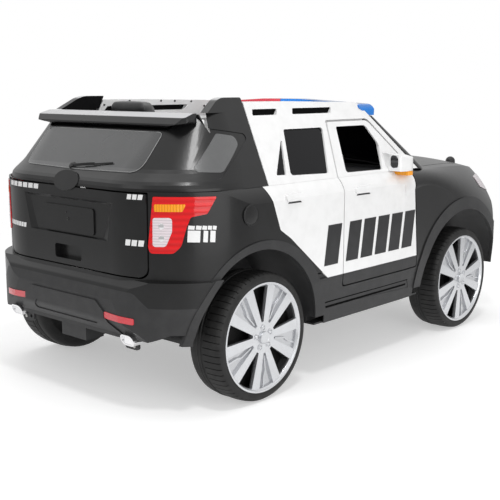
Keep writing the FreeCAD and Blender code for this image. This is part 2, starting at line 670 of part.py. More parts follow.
REFLECTOR = [(BODY_HALF - 216.0, SILL_Z + 62.0, 3.0), (BODY_HALF - 136.0, SILL_Z + 59.0, 3.0),
             (BODY_HALF - 136.0, SILL_Z + 72.0, 3.0), (BODY_HALF - 216.0, SILL_Z + 76.0, 3.0)]
EXHAUST_Y = BODY_HALF - 160.0
EXHAUST_Z = SILL_Z + 23.0


def bumper_zone():
    """Everything under the seam between the painted tail and the rear bumper."""
    low = CLAD_TOP_Z - 10.0
    high = CLAD_TOP_Z + 19.0
    inner, outer = BODY_HALF - 138.0, BODY_HALF - 107.0
    return prism([(-FAR, 0.0), (FAR, 0.0), (FAR, low), (outer, low), (inner, high, 20.0),
                  (-inner, high, 20.0), (-outer, low), (-FAR, low)], "yz", X_REAR - 10.0, X_RA)


def make_rear_bumper(painted):
    bumper = painted.common(bumper_zone())
    skid = prism([(-111.0, SILL_Z + 96.0, 8.0), (111.0, SILL_Z + 96.0, 8.0),
                  (135.0, SILL_Z + 76.0, 6.0), (146.0, SILL_Z + 54.0), (172.0, SILL_Z + 34.0),
                  (172.0, SILL_Z + 20.0), (-172.0, SILL_Z + 20.0), (-172.0, SILL_Z + 34.0),
                  (-146.0, SILL_Z + 54.0), (-135.0, SILL_Z + 76.0, 6.0)],
                 "yz", X_REAR - 10.0, X_REAR + 60.0)
    panel = tail_layer(-SKID_PROUD, 1.0).common(skid).cut(tail_trim())
    dent = prism([(-95.0, SILL_Z + 66.0, 6.0), (95.0, SILL_Z + 66.0, 6.0),
                  (114.0, SILL_Z + 44.0, 6.0), (-114.0, SILL_Z + 44.0, 6.0)],
                 "yz", X_REAR - 10.0, X_REAR + 60.0)
    panel = panel.cut(tail_layer(-SKID_PROUD - 1.0, -1.0).common(dent))
    bumper = fuse([bumper, panel])

    def reflector(side):
        lens = prism(REFLECTOR, "yz", X_REAR - 10.0, X_REAR + 80.0)
        return lens if side > 0 else flip(lens)

    lenses = [reflector(1), reflector(-1)]
    skin = tail_layer(-1.5, WALL)
    save("rear_reflectors", [skin.common(lens) for lens in lenses])
    tube = prism([(EXHAUST_Y - 20.0, EXHAUST_Z - 12.0, 12.0), (EXHAUST_Y + 20.0, EXHAUST_Z - 12.0, 12.0),
                  (EXHAUST_Y + 20.0, EXHAUST_Z + 12.0, 12.0), (EXHAUST_Y - 20.0, EXHAUST_Z + 12.0, 12.0)],
                 "yz", X_REAR + 5.0, X_REAR + 44.0)
    bumper = bumper.cut(lenses[0]).cut(lenses[1])
    save("rear_bumper", bumper.cut(tube).cut(flip(tube)))

    def exhaust(_):
        slant = prism([(X_REAR, EXHAUST_Z - 20.0), (X_REAR + 22.0, EXHAUST_Z - 20.0),
                       (X_REAR + 8.0, EXHAUST_Z + 20.0), (X_REAR, EXHAUST_Z + 20.0)], "xz", 0.0, FAR)
        bowl = prism([(EXHAUST_Y - 16.5, EXHAUST_Z - 8.5, 8.5), (EXHAUST_Y + 16.5, EXHAUST_Z - 8.5, 8.5),
                      (EXHAUST_Y + 16.5, EXHAUST_Z + 8.5, 8.5), (EXHAUST_Y - 16.5, EXHAUST_Z + 8.5, 8.5)],
                     "yz", X_REAR, X_REAR + 19.0)
        return tube.cut(slant).cut(bowl)

    def bracket(_):
        plate = prism([(EXHAUST_Y - 33.0, SILL_Z - 2.0, 6.0), (EXHAUST_Y + 7.0, SILL_Z - 2.0, 6.0),
                       (EXHAUST_Y + 7.0, SILL_Z + 50.0), (EXHAUST_Y - 33.0, SILL_Z + 50.0)],
                      "yz", X_REAR + 38.0, X_REAR + 44.0)
        hole = rod(V(X_REAR, EXHAUST_Y - 22.0, SILL_Z + 8.0), V(X_RA, EXHAUST_Y - 22.0, SILL_Z + 8.0), 4.0)
        foot = box(X_REAR + 24.0, X_REAR + 44.0, EXHAUST_Y - 33.0, EXHAUST_Y + 7.0, SILL_Z + 44.0,
                   SILL_Z + 50.0)
        return fuse([plate, foot]).cut(hole).cut(exhaust(1))

    save("exhaust_tips", on_both_sides(exhaust))
    brackets = on_both_sides(bracket)
    tow = box(X_REAR + 26.0, X_REAR + 76.0, -42.0, 42.0, SILL_Z - 8.0, SILL_Z + 50.0)
    save("rear_brackets", brackets + [tow.common(bulge_form(WALL, SILL_Z - 10.0))])


def tail_trim():
    """Rising underside behind the rear wheels."""
    low = SILL_Z + 24.0
    high = SILL_Z + 42.0
    return prism([(X_REAR - 60.0, 0.0), (X_RA, 0.0), (X_RA, high), (X_RA - 205.0, high),
                  (X_REAR + 22.0, low), (X_REAR - 60.0, low)], "xz", -FAR, FAR)


def make_arch_trims(inner):
    grown = body_form(-ARCH_PROUD)
    rings = []
    for axle_x, arch in ARCHES:
        for y0, y1 in ((-FAR, -BODY_HALF / 2), (BODY_HALF / 2, FAR)):
            ring = arch_disc(axle_x, arch, y0, y1).common(grown).cut(inner)
            ring = ring.cut(arch_drum(axle_x, arch, 0.0, y0, y1))
            rings.append(ring.common(box(-FAR, FAR, y0, y1, SILL_Z + 20.0, FAR)))
    save("arch_trims", rings)


def make_wheel_liners(cavity):
    """Inner skins over the wheels, hung from the floor and the body sides."""
    liners = []
    t = 3.0
    for axle_x, arch in ARCHES:
        y0, y1 = STRIP_HALF, BODY_HALF
        skin = arch_drum(axle_x, arch, t, y0, y1).cut(arch_drum(axle_x, arch, 0.0, y0 - 1.0, y1))
        skin = skin.common(box(-FAR, FAR, y0, y1, SILL_Z + 20.0, FAR))
        wall = arch_drum(axle_x, arch, t, y0, y0 + t)
        wall = wall.common(box(-FAR, FAR, y0, y1, DECK_Z, FAR))
        liner = fuse([skin, wall]).common(cavity)
        liners.extend([liner, flip(liner)])
    save("wheel_liners", liners)


def handle_pad(x0, x1, z, skin):
    """Moulded door handle: a low rounded pad on the skin, left side."""
    face = prism([(x0, z - 7.0, 6.0), (x1, z - 8.0, 6.0), (x1, z + 8.0, 6.0), (x0, z + 7.0, 6.0)],
                 "xz", 100.0, FAR)
    return skin.common(face)


def make_side_parts(painted, shell, quarter, wing):
    """White panels and sills; returns the left door's skin and cladding."""
    middle = painted.cut(quarter).cut(wing)
    white = middle.common(box(X_REAR, X_FA, -FAR, FAR, CLAD_TOP_Z, BELT_Z))
    closed = door_region(0.0, -FAR, FAR)
    opening = door_region(PANEL_GAP, -FAR, FAR)
    groove = prism([(X_RA + 196.0, SILL_Z + 38.0, 3.0), (X_FA - 264.0, SILL_Z + 26.0, 3.0),
                    (X_FA - 272.0, SILL_Z + 46.0, 3.0), (X_RA + 206.0, SILL_Z + 51.0, 3.0)],
                   "xz", -FAR, FAR)
    groove = groove.common(mid_form(-1.0, SILL_Z).fuse(front_form(-1.0, SILL_Z)))
    groove = groove.cut(mid_form(2.0, OPEN_Z).fuse(front_form(2.0, OPEN_Z)))
    behind = box(X_REAR, X_B + 100.0, -FAR, FAR, 0.0, FAR)
    pads = mid_form(-5.0, SILL_Z).cut(mid_form(0.0, SILL_Z))
    rear_pad = handle_pad(X_B - 206.0, X_B - 148.0, BELT_Z - 27.0, pads)
    front_pad = handle_pad(X_B + 37.0, X_B + 103.0, BELT_Z - 31.0, pads)
    left = side_space(1)
    panel = fuse([white.common(left).common(behind).cut(opening), rear_pad])
    save("side_panels", [panel, flip(panel)])
    sill = shell.common(left).common(box(X_RA, X_FA, -FAR, FAR, 0.0, CLAD_TOP_Z))
    for axle_x, arch in ARCHES:
        sill = sill.cut(arch_disc(axle_x, arch, -FAR, FAR))
    sill = sill.cut(opening).cut(groove)
    sill = sill.cut(wing.common(box(X_RA, FAR, -FAR, FAR, SEAM_Z, FAR)))
    save("sills", [sill, flip(sill)])
    skin = fuse([white.common(left).common(closed), front_pad])
    cladding = middle.common(box(X_REAR, X_FA, -FAR, FAR, SEAM_Z, CLAD_TOP_Z)).common(left)
    return skin, cladding.common(closed)


def bonnet_plan(grow):
    g = grow
    x0 = X_FA - 138.0 - g
    x1 = X_FA + 155.0
    x2 = X_FA + 187.0 + g
    wide, mid, slim = BODY_HALF - 60.0 + g, BODY_HALF - 117.0 + g, BODY_HALF - 152.0 + g
    return prism([(x0, -wide, 10.0), (x1, -mid, 40.0), (x2, -slim, 30.0), (x2, slim, 30.0),
                  (x1, mid, 40.0), (x0, wide, 10.0)], "xy", BELT_Z - 72.0, FAR)


GRILLE_Z = BUMPER_TOP_Z + 20.0
GRILLE_H = 98.0
PUSH_BAR_Y = BODY_HALF - 192.0
PUSH_BAR_R = 14.0


def make_front(painted, wing):
    split = BUMPER_TOP_Z + 5.0
    front = painted.common(wing)
    bumper_box = box(X_FA, X_NOSE + 50.0, -FAR, FAR, 0.0, split)
    body = front.cut(bumper_box).common(box(X_SEAM, FAR, -FAR, FAR, SEAM_Z, FAR))
    bumper = front.common(bumper_box)

    save("bonnet", body.common(bonnet_plan(0.0)))
    body = body.cut(bonnet_plan(PANEL_GAP))

    # headlamps wrap round the front corners
    glass_side = prism([(X_FA + 126.0, BELT_Z - 48.0, 4.0), (X_FA + 141.0, BELT_Z - 77.0, 6.0),
                        (X_NOSE, BELT_Z - 105.0), (X_NOSE, BELT_Z - 46.0)], "xz", BODY_HALF - 184.0, FAR)
    zones = [glass_side, flip(glass_side)]
    skin = front_layer(-1.5, 7.0)
    lamps = [skin.common(zone) for zone in zones]
    body = body.cut(zones[0]).cut(zones[1])

    # grille: frame and bars in one moulding
    half = BODY_HALF - 202.0
    z0, z1 = GRILLE_Z, GRILLE_Z + GRILLE_H
    zone = prism([(-half, z0, 12.0), (half, z0, 12.0), (half + 8.0, z1, 12.0),
                  (-half - 8.0, z1, 12.0)], "yz", X_FACE - 70.0, X_NOSE)
    grille = front_layer(-2.0, 8.0).common(zone)
    slots = 3
    pitch = GRILLE_H / (slots + 0.25)
    for i in range(slots):
        low = z0 + 10.0 + i * pitch
        grille = grille.cut(box(X_FACE - 70.0, X_NOSE, -half + 10.0, half - 10.0, low, low + pitch - 12.0))
    save("grille", grille)
    save("front_body", body.cut(zone))

    # push bar in front of the grille
    x = X_NOSE - PUSH_BAR_R
    top = BELT_Z - 20.0
    tubes = []
    for y in (-PUSH_BAR_Y, PUSH_BAR_Y):
        tubes.append(rod(V(x, y, BUMPER_TOP_Z - 26.0), V(x, y, top), PUSH_BAR_R))
        tubes.append(Part.makeSphere(PUSH_BAR_R, V(x, y, top)))
    for z in (BUMPER_TOP_Z + 30.0, top - 34.0):
        tubes.append(rod(V(x, -PUSH_BAR_Y, z), V(x, PUSH_BAR_Y, z), PUSH_BAR_R - 5.0))
    bar = fuse(tubes)
    save("push_bar", bar)
    bumper = bumper.cut(bar)

    # bumper intake slots and fog lamps
    for i in range(3):
        low = SILL_Z + 38.0 + 24.0 * i
        half = BODY_HALF - 230.0 + 6.0 * i
        bumper = bumper.cut(prism([(-half, low, 6.0), (half, low, 6.0), (half + 5.0, low + 16.0, 6.0),
                                   (-half - 5.0, low + 16.0, 6.0)], "yz", X_FACE, X_NOSE))
    fog_y, fog_z = BODY_HALF - 142.0, SILL_Z + 76.0
    rods = [rod(V(X_FACE - 40.0, y, fog_z), V(X_NOSE, y, fog_z), 24.0) for y in (-fog_y, fog_y)]
    skin = front_layer(-1.5, 8.0)
    save("front_lamps", lamps + [skin.common(lens) for lens in rods])
    save("front_bumper", bumper.cut(rods[0]).cut(rods[1]))


def make_lower_body():
    outer = body_form(0.0)
    inner = body_form(WALL)
    cavity = body_form(WALL + 1.0)
    shell = outer.cut(inner).cut(tail_trim())
    shell = shell.cut(box(-FAR, X_SEAM + 4.0, -FAR, FAR, BELT_Z, FAR))
    for axle_x, arch in ARCHES:
        shell = shell.cut(arch_drum(axle_x, arch, 0.0, -FAR, FAR))
    painted = shell
    for axle_x, arch in ARCHES:
        for y0, y1 in ((-FAR, -BODY_HALF / 2), (BODY_HALF / 2, FAR)):
            painted = painted.cut(arch_disc(axle_x, arch, y0, y1))
    quarter = quarter_region()
    wing = wing_region()

    zones = make_tail_lamps()
    rear = painted.common(quarter).cut(bumper_zone()).cut(tailgate_region(PANEL_GAP))
    rear = rear.cut(box(X_RA, FAR, -FAR, FAR, 0.0, CLAD_TOP_Z + 15.0))
    save("rear_quarters", rear.cut(zones[0]).cut(zones[1]).cut(badge(0.0)))
    make_tailgate(painted)
    make_rear_bumper(painted)
    make_arch_trims(inner)
    make_wheel_liners(cavity)
    skin, cladding = make_side_parts(painted, shell, quarter, wing)
    make_front(painted, wing)
    return skin, cladding, inner, cavity


# ---------------------------------------------------------------- upper body
D_FOOT = 27.0                           # seam of white frame and rear shell, from the rear axle
D_HEAD = 45.0


def frame_side_view():
    top = RAIL_TOP_Z - RAIL_STEP
    head_x = screen_x(ROOF_Z)
    return [(X_RA + D_FOOT, BELT_Z), (X_RA + D_HEAD, ROOF_Z), (X_RA + D_HEAD + 3.0, top + 2.0, 3.0),
            (X_RA + 205.0, top + 1.0, 100.0), (head_x - 12.0, top - 4.0, 30.0),
            (screen_x(ROOF_Z - 8.0), ROOF_Z - 8.0, 6.0), (screen_x(BELT_Z), BELT_Z)]


# Windows in the leaning sides: corner columns are x, z, radius
def rear_window_corners():
    return [(X_RA + 107.0, BELT_Z + 15.0, 6.0), (X_B - 29.0, BELT_Z + 11.0, 6.0),
            (X_B + 16.0, WINDOW_TOP_Z, 6.0), (X_RA + 142.0, WINDOW_TOP_Z, 6.0)]


def corner_window_corners():
    return [(X_RA + 62.0, BELT_Z + 18.0, 2.0), (X_RA + 93.0, BELT_Z + 17.0, 2.0),
            (X_RA + 127.0, WINDOW_TOP_Z - 13.0, 2.0)]


def door_window_corners():
    front_top = screen_x(WINDOW_TOP_Z) - 52.0
    return [(X_B + 35.0, BELT_Z + 8.0, 6.0), (X_SEAM - 113.0, BELT_Z + 6.0, 6.0),
            (X_SEAM - 85.0, WINDOW_TOP_Z - 48.0, 12.0), (front_top, WINDOW_TOP_Z, 12.0),
            (X_B + 66.0, WINDOW_TOP_Z, 6.0)]


HEADER_H = 22.0
RAIL_SLOTS = [
    # offset of the slot's corners from the rear axle: low rear, low front, high front, high rear
    (61.0, 140.0, 148.0, 68.0),
    (192.0, 332.0, 342.0, 201.0),
]


def make_roof_frame():
    high = RAIL_TOP_Z + 20.0
    outer = cabin_prism(0.0, BELT_Z, high)
    sides = outer.cut(cabin_prism(PILLAR_T, BELT_Z, high))
    rails = outer.cut(cabin_prism(RAIL_T, BELT_Z, high))
    rails = rails.common(box(X_REAR, X_FA, -FAR, FAR, DOOR_TOP_Z + PANEL_GAP + 2.0, FAR))
    view = prism(frame_side_view(), "xz", -FAR, FAR)
    low = ROOF_Z - HEADER_H
    reach = side_half(ROOF_Z - 10.0) - 8.0
    header = prism([(screen_x(low) - 34.0, low, 4.0), (screen_x(low), low),
                    (screen_x(ROOF_Z), ROOF_Z, 2.0), (screen_x(ROOF_Z) - 30.0, ROOF_Z, 6.0)],
                   "xz", -reach, reach)
    frame = fuse([sides.common(view), rails.common(view), header])
    for corners in (rear_window_corners(), corner_window_corners()):
        frame = frame.cut(prism(corners, "xz", -FAR, FAR))
    slot_z0, slot_z1 = ROOF_Z - 8.0, ROOF_Z + 5.0
    for low_rear, low_front, high_front, high_rear in RAIL_SLOTS:
        pts = [(X_RA + low_rear, slot_z0, 2.0), (X_RA + low_front, slot_z0, 2.0),
               (X_RA + high_front, slot_z1, 2.0), (X_RA + high_rear, slot_z1, 2.0)]
        frame = frame.cut(prism(pts, "xz", -FAR, FAR))
    frame = frame.cut(door_region(PANEL_GAP + 1.5, -FAR, FAR)).cut(front_form(0.0, SILL_Z))
    save("roof_frame", frame)
    return frame, sides


SCREEN_SWELL_LOW = 75.0                # windscreen's middle ahead of its edges, at the foot
SCREEN_SWELL_HIGH = 32.0


def screen_solid(inset):
    wires = []
    for z, swell in ((BELT_Z - 2.0, SCREEN_SWELL_LOW), (ROOF_Z - 18.0, SCREEN_SWELL_HIGH)):
        edge = screen_x(z)
        half = side_half(z) - 0.5 - inset
        front = edge + swell - inset
        corner = swell - 1.0 - inset
        wires.append(outline([(edge - 100.0, -half, 0.0), (front, -half, corner),
                              (front, half, corner), (edge - 100.0, half, 0.0)], "xy", z))
    return Part.makeLoft(wires, True, True)


def make_windscreen(frame):
    low, high = BELT_Z - 10.0, ROOF_Z
    ahead = prism([(screen_x(low), low), (X_FA, low), (X_FA, high), (screen_x(high), high)],
                  "xz", -FAR, FAR)
    glass = screen_solid(0.0).cut(screen_solid(GLASS_T)).common(ahead)
    save("windscreen", glass.cut(front_form(0.0, SILL_Z)).cut(frame))

    # light bar over the windscreen's top, red on the left and blue on the right
    x0 = screen_x(ROOF_Z) - 17.0
    under = ROOF_Z - 17.0
    section = prism([(x0, ROOF_Z + 2.0), (x0 + 8.0, ROOF_Z + 24.0, 6.0), (x0 + 46.0, ROOF_Z + 22.0, 12.0),
                     (x0 + 63.0, ROOF_Z - 2.0, 8.0), (x0 + 62.0, under), (x0 + 30.0, under)],
                    "xz", -LIGHT_BAR_HALF, LIGHT_BAR_HALF)
    end = LIGHT_BAR_HALF
    arch = prism([(-end, under - 1.0), (end, under - 1.0), (end, ROOF_Z + 10.0, 14.0),
                  (60.0, ROOF_Z + 21.0, 200.0), (-60.0, ROOF_Z + 21.0, 200.0),
                  (-end, ROOF_Z + 10.0, 14.0)], "yz", X_REAR, X_FA)
    bar = section.common(arch).cut(frame)
    save("light_bar_red", bar.common(box(-FAR, FAR, 0.5, FAR, 0.0, FAR)))
    save("light_bar_blue", bar.common(box(-FAR, FAR, -FAR, -0.5, 0.0, FAR)))


def make_side_glass():
    high = RAIL_TOP_Z
    pane = cabin_prism(4.0, BELT_Z, high).cut(cabin_prism(4.0 + GLASS_T, BELT_Z, high))
    panes = []
    for corners in (rear_window_corners(), corner_window_corners()):
        left = pane.common(prism(corners, "xz", 0.0, FAR))
        panes += [left, flip(left)]
    save("side_glass", panes)


# Rear quarter windows: x from the rear axle, z below the deck, radius
QUARTER_RIM = [(-74.0, 30.0, 8.0), (29.0, 45.0, 8.0), (-97.0, 128.0, 16.0), (-143.0, 113.0, 6.0)]
QUARTER_PANE = [(-60.0, 40.0, 10.0), (2.0, 50.0, 12.0), (-82.0, 115.0, 22.0), (-139.0, 112.0, 6.0)]
SHELL_T = 5.0
SHELL_CORNER_R = 196.0                 # round corners beside the rear window, at the belt
SHELL_CORNER_TAPER = 0.768             # and what they lose per unit of height
SHELL_TALL = 60.0                      # the blank's height above the deck


def shell_form(inset):
    """Rear end above the belt: upright foot, ledge and sloping window, round in plan."""
    foot_x, foot_z = SLOPE_FOOT
    tall = ROOF_Z + SHELL_TALL
    stations = [(BELT_Z - 30.0, X_TAIL - 1.0), (foot_z - 26.0, X_TAIL), (foot_z - 19.0, X_TAIL + 2.5),
                (foot_z - 13.0, X_TAIL + 9.0), (foot_z - 6.0, X_TAIL + 18.5),
                (foot_z + 2.0, foot_x), (foot_z + 9.0, slope_x(foot_z + 9.0)),
                (ROOF_Z, slope_x(ROOF_Z)), (tall, slope_x(tall))]
    wires = []
    for z, x in stations:
        half = side_half(z) - inset
        corner = SHELL_CORNER_R - (z - BELT_Z) * SHELL_CORNER_TAPER - inset
        wires.append(outline([(x + inset, -half, corner), (X_FA, -half, 0.0), (X_FA, half, 0.0),
                              (x + inset, half, corner)], "xy", z))
    return Part.makeLoft(wires, True, True)


def make_rear_shell():
    t = SHELL_T
    high = RAIL_TOP_Z + 20.0
    foot_x, foot_z = SLOPE_FOOT
    deck_front = X_RA - 85.0
    top = prism([(X_REAR, BELT_Z), (X_RA + D_FOOT - 2.0, BELT_Z), (X_RA + D_HEAD - 2.0, ROOF_Z),
                 (X_TAIL + 150.0, ROOF_Z, 20.0), (slope_x(ROOF_Z - 6.0) - 1.0, ROOF_Z - 6.0),
                 (X_REAR, ROOF_Z - 6.0)], "xz", -FAR, FAR)
    solid = shell_form(0.0).common(top)

    # spoiler lip over a dark recess, thinner towards its two tips
    lip = prism([(X_TAIL + 104.0, ROOF_Z - 28.0), (X_TAIL + 97.0, ROOF_Z - 23.0, 3.0),
                 (X_TAIL + 110.0, ROOF_Z - 9.0, 4.0), (X_TAIL + 138.0, ROOF_Z - 0.5, 14.0),
                 (X_TAIL + 190.0, ROOF_Z - 0.5), (X_TAIL + 190.0, ROOF_Z - 28.0)], "xz", -FAR, FAR)
    tip = ROOF_HALF - 4.0
    lip = lip.common(prism([(70.0 - tip, ROOF_Z - 30.0), (tip - 70.0, ROOF_Z - 30.0),
                            (tip, ROOF_Z - 19.0, 5.0), (tip - 8.0, ROOF_Z, 5.0),
                            (8.0 - tip, ROOF_Z, 5.0), (-tip, ROOF_Z - 19.0, 5.0)],
                           "yz", X_REAR, X_RA))
    plan = [(X_TAIL + 97.0, 20.0 - tip, 14.0), (X_TAIL + 120.0, -tip, 14.0),
            (X_TAIL + 146.0, 5.0 - tip, 20.0), (X_TAIL + 190.0, 70.0 - tip)]
    plan += [(x, -y, *r) for x, y, *r in reversed(plan)]
    lip = lip.common(prism(plan, "xy", BELT_Z, ROOF_Z))
    low, high_edge = ROOF_Z - 35.0, ROOF_Z - 27.0
    half = ROOF_HALF - 48.0
    recess = shell_form(-1.0).cut(shell_form(9.0))
    recess = recess.common(prism([(-half, high_edge + 5.0), (half, high_edge + 5.0),
                                  (half - 6.0, low, 6.0), (-half + 6.0, low, 6.0)],
                                 "yz", X_REAR, X_RA + D_HEAD))

    hollow = prism([(X_TAIL + t, BELT_Z - 10.0), (X_TAIL + t, BELT_Z + 10.0, 4.0),
                    (foot_x + t, foot_z - 4.0, 10.0), (slope_x(ROOF_Z - 44.0) + t, ROOF_Z - 44.0),
                    (slope_x(ROOF_Z - 40.0) + 16.0, ROOF_Z - 40.0), (X_TAIL + 136.0, ROOF_Z - t),
                    (deck_front - 10.0, ROOF_Z - t), (X_RA - 40.0, BELT_Z - 10.0)], "xz", -FAR, FAR)
    hollow = hollow.common(shell_form(t))
    well = prism([(deck_front, ROOF_Z + 10.0), (deck_front, ROOF_Z), (X_RA - 30.0, BELT_Z - 10.0),
                  (X_FA, BELT_Z - 10.0), (X_FA, ROOF_Z + 10.0)], "xz", -FAR, FAR)
    well = well.common(cabin_prism(PILLAR_T, BELT_Z - 10.0, high))
    shell = fuse([solid, lip]).cut(recess).cut(hollow).cut(well)

    # black ends of the roof rails
    cap = prism([(X_RA - 69.0, ROOF_Z), (X_RA + D_HEAD - 2.0, ROOF_Z),
                 (X_RA + D_HEAD + 1.0, RAIL_TOP_Z + 4.0, 3.0), (X_RA - 20.0, RAIL_TOP_Z + 4.0, 60.0)],
                "xz", -FAR, FAR)
    cap = cap.common(cabin_prism(0.0, BELT_Z, high).cut(cabin_prism(RAIL_T, BELT_Z, high)))
    shell = fuse([shell, cap])

    # quarter windows: a shallow field with a pane
    rim_prism = prism([(X_RA + x, ROOF_Z - z, r) for x, z, r in QUARTER_RIM], "xz", -FAR, FAR)
    field = shell_form(-1.0).cut(shell_form(1.5)).common(rim_prism)
    glass = prism([(X_RA + x, ROOF_Z - z, r) for x, z, r in QUARTER_PANE], "xz", -FAR, FAR)
    glass = glass.common(shell_form(0.7).cut(shell_form(3.5)))
    save("quarter_windows", [glass.common(side_space(side)) for side in (1, -1)])
    shell = shell.cut(field).cut(glass)

    # rear window
    wide = BELT_HALF - 141.0
    z0, z1 = foot_z - 1.0, ROOF_Z - 37.0
    view = prism([(-wide, z0 + 3.0, 24.0), (0.0, z0, 60.0), (wide, z0 + 3.0, 24.0), (wide, z1, 12.0),
                  (-wide, z1, 12.0)], "yz", X_REAR, X_RA + D_HEAD)
    pane = shell_form(-1.2).cut(shell_form(3.0)).common(view)
    save("rear_window", pane)
    save("rear_shell", shell.cut(pane).cut(badge(0.0)))


def mirror_shape():
    """Left mirror housing, glass and indicator, before the door's own shape is taken off."""
    y0 = side_half(BELT_Z + 40.0)
    tip = X_SEAM - 12.0
    back = X_SEAM - 95.0
    plan = prism([(back + 14.0, y0 - 30.0), (back + 2.0, y0 + 22.0, 6.0), (back, y0 + 56.0, 9.0),
                  (back + 42.0, y0 + 66.0, 34.0), (tip, y0 + 38.0, 16.0), (tip - 16.0, y0 - 30.0)],
                 "xy", BELT_Z, BELT_Z + 60.0)
    low, high = BELT_Z + 1.0, BELT_Z + 43.0
    view = prism([(back, low, 5.0), (tip, low, 5.0), (tip, low + 11.0, 8.0),
                  (tip - 26.0, high - 12.0, 24.0), (back + 18.0, high, 30.0), (back, high, 6.0)],
                 "xz", 0.0, FAR)
    front = prism([(y0 - 40.0, low), (y0 + 70.0, low, 8.0), (y0 + 62.0, high, 22.0),
                   (y0 - 8.0, high, 12.0), (y0 - 40.0, low + 6.0)], "yz", X_RA, X_FA)
    housing = plan.common(view).common(front)
    glass = prism([(y0 + 28.0, low + 3.0, 6.0), (y0 + 51.0, low + 3.0, 6.0),
                   (y0 + 50.0, high - 4.0, 14.0), (y0 + 28.0, high - 4.0, 8.0)],
                  "yz", back, back + 5.0)
    glass = glass.common(housing)
    lamp = prism([(back + 24.0, y0 + 22.0), (back + 24.0, y0 + 64.0, 6.0), (back + 46.0, y0 + 64.0, 20.0),
                  (tip, y0 + 36.0, 8.0), (tip - 6.0, y0 + 22.0)], "xy", low - 10.0, low)
    return housing.cut(glass), glass, lamp


LINING_Y = BODY_HALF - 30.0            # inner face of the door linings
WINDOW_REBATE = 8.0                    # the frame thins to the panels' wall this far outside
HINGES = ((SEAM_Z + 58.0, SEAM_Z + 84.0), (BELT_Z - 60.0, BELT_Z - 34.0))   # low and high Z
LUG_T = 6.0
BARREL_R = 6.0


def door_barrels():
    """Hinge barrels of the left door with their arms to the lining."""
    parts = []
    for z0, z1 in HINGES:
        low, high = z0 + LUG_T + 0.5, z1 - LUG_T - 0.5
        parts.append(rod(V(HINGE_X, HINGE_Y, low), V(HINGE_X, HINGE_Y, high), BARREL_R))
        parts.append(box(HINGE_X - 18.0, HINGE_X, HINGE_Y - 3.0, HINGE_Y + 3.0, low, high))
    return parts


def hinge_lugs():
    """Fixed hinge lugs of the left side, reaching out from the cabin's side wall."""
    parts = []
    r = BARREL_R
    for z0, z1 in HINGES:
        for low in (z0, z1 - LUG_T):
            arm = prism([(HINGE_X - 8.0, FLOOR_HALF - TUB_WALL), (HINGE_X + 26.0, FLOOR_HALF - TUB_WALL),
                         (HINGE_X + 26.0, FLOOR_HALF), (HINGE_X + 4.0, FLOOR_HALF + 3.0, 2.0),
                         (HINGE_X + r - 2.0, HINGE_Y), (HINGE_X - r + 1.0, HINGE_Y),
                         (HINGE_X - 8.0, FLOOR_HALF + 4.0, 2.0)], "xy", low, low + LUG_T)
            parts.append(arm)
            parts.append(rod(V(HINGE_X, HINGE_Y, low), V(HINGE_X, HINGE_Y, low + LUG_T), r))
    return parts


def pin_rod(radius):
    return [rod(V(HINGE_X, HINGE_Y, z0 - 2.0), V(HINGE_X, HINGE_Y, z1 + 2.0), radius) for z0, z1 in HINGES]


def make_doors(skin, cladding, sides, inner):
    housing, glass, lamp = mirror_shape()
    closed = door_region(0.0, -FAR, FAR)
    window = prism(door_window_corners(), "xz", -FAR, FAR)
    upper = sides.common(closed).common(box(X_REAR, X_FA, 0.0, FAR, BELT_Z, FAR)).cut(window)
    rebate = prism(outset(door_window_corners(), WINDOW_REBATE), "xz", 0.0, FAR)
    upper = upper.cut(rebate.common(cabin_prism(WALL, BELT_Z + 3.0, FAR)))
    ledge_y = side_half(BELT_Z) - PILLAR_T
    ledge = box(X_B + 2.0, X_SEAM - 6.0, ledge_y, BODY_HALF, BELT_Z - 4.0, BELT_Z)
    ledge = ledge.common(mid_form(1.0, SILL_Z).fuse(front_form(1.0, SILL_Z)))
    upper = fuse([upper, ledge])
    solid_side = cabin_prism(0.0, BELT_Z - 5.0, ROOF_Z).fuse(mid_form(0.0, SILL_Z))
    solid_side = solid_side.fuse(front_form(0.0, SILL_Z))
    housing, glass, lamp = [shape.cut(solid_side) for shape in (housing, glass, lamp)]

    tray_end = box(X_B, HINGE_X - 14.0, LINING_Y, FAR, SEAM_Z, BELT_Z - 4.5)
    tray = door_region(-8.0, 0.0, FAR).common(tray_end).common(inner)
    dish = box(X_B, HINGE_X - 18.0, LINING_Y + WALL, FAR, SEAM_Z, BELT_Z - 8.5)
    tray = tray.cut(door_region(-12.0, 0.0, FAR).common(dish))
    lining = fuse([tray, cladding] + door_barrels())
    for bore in pin_rod(HINGE_PIN_R + RUN_FIT):
        lining = lining.cut(bore)

    panel = fuse([skin, upper, housing])
    for name, side in SIDES:
        def turned(shape):
            return shape if side > 0 else flip(shape)

        save("door_" + name, turned(panel))
        save("door_lining_" + name, turned(lining))
        save("mirror_glass_" + name, turned(glass))
        save("mirror_indicator_" + name, turned(lamp))
    pins = pin_rod(HINGE_PIN_R)
    save("hinge_pins", pins + [flip(pin) for pin in pins])


# ---------------------------------------------------------------- cabin
COLUMN_R = 9.0


def steering_axis():
    """A point on the steering wheel's axis and its direction towards the driver."""
    tilt = math.radians(COLUMN_TILT)
    return V(X_SEAM - 130.0, 0, BELT_Z - 12.0), V(-math.cos(tilt), 0, math.sin(tilt))


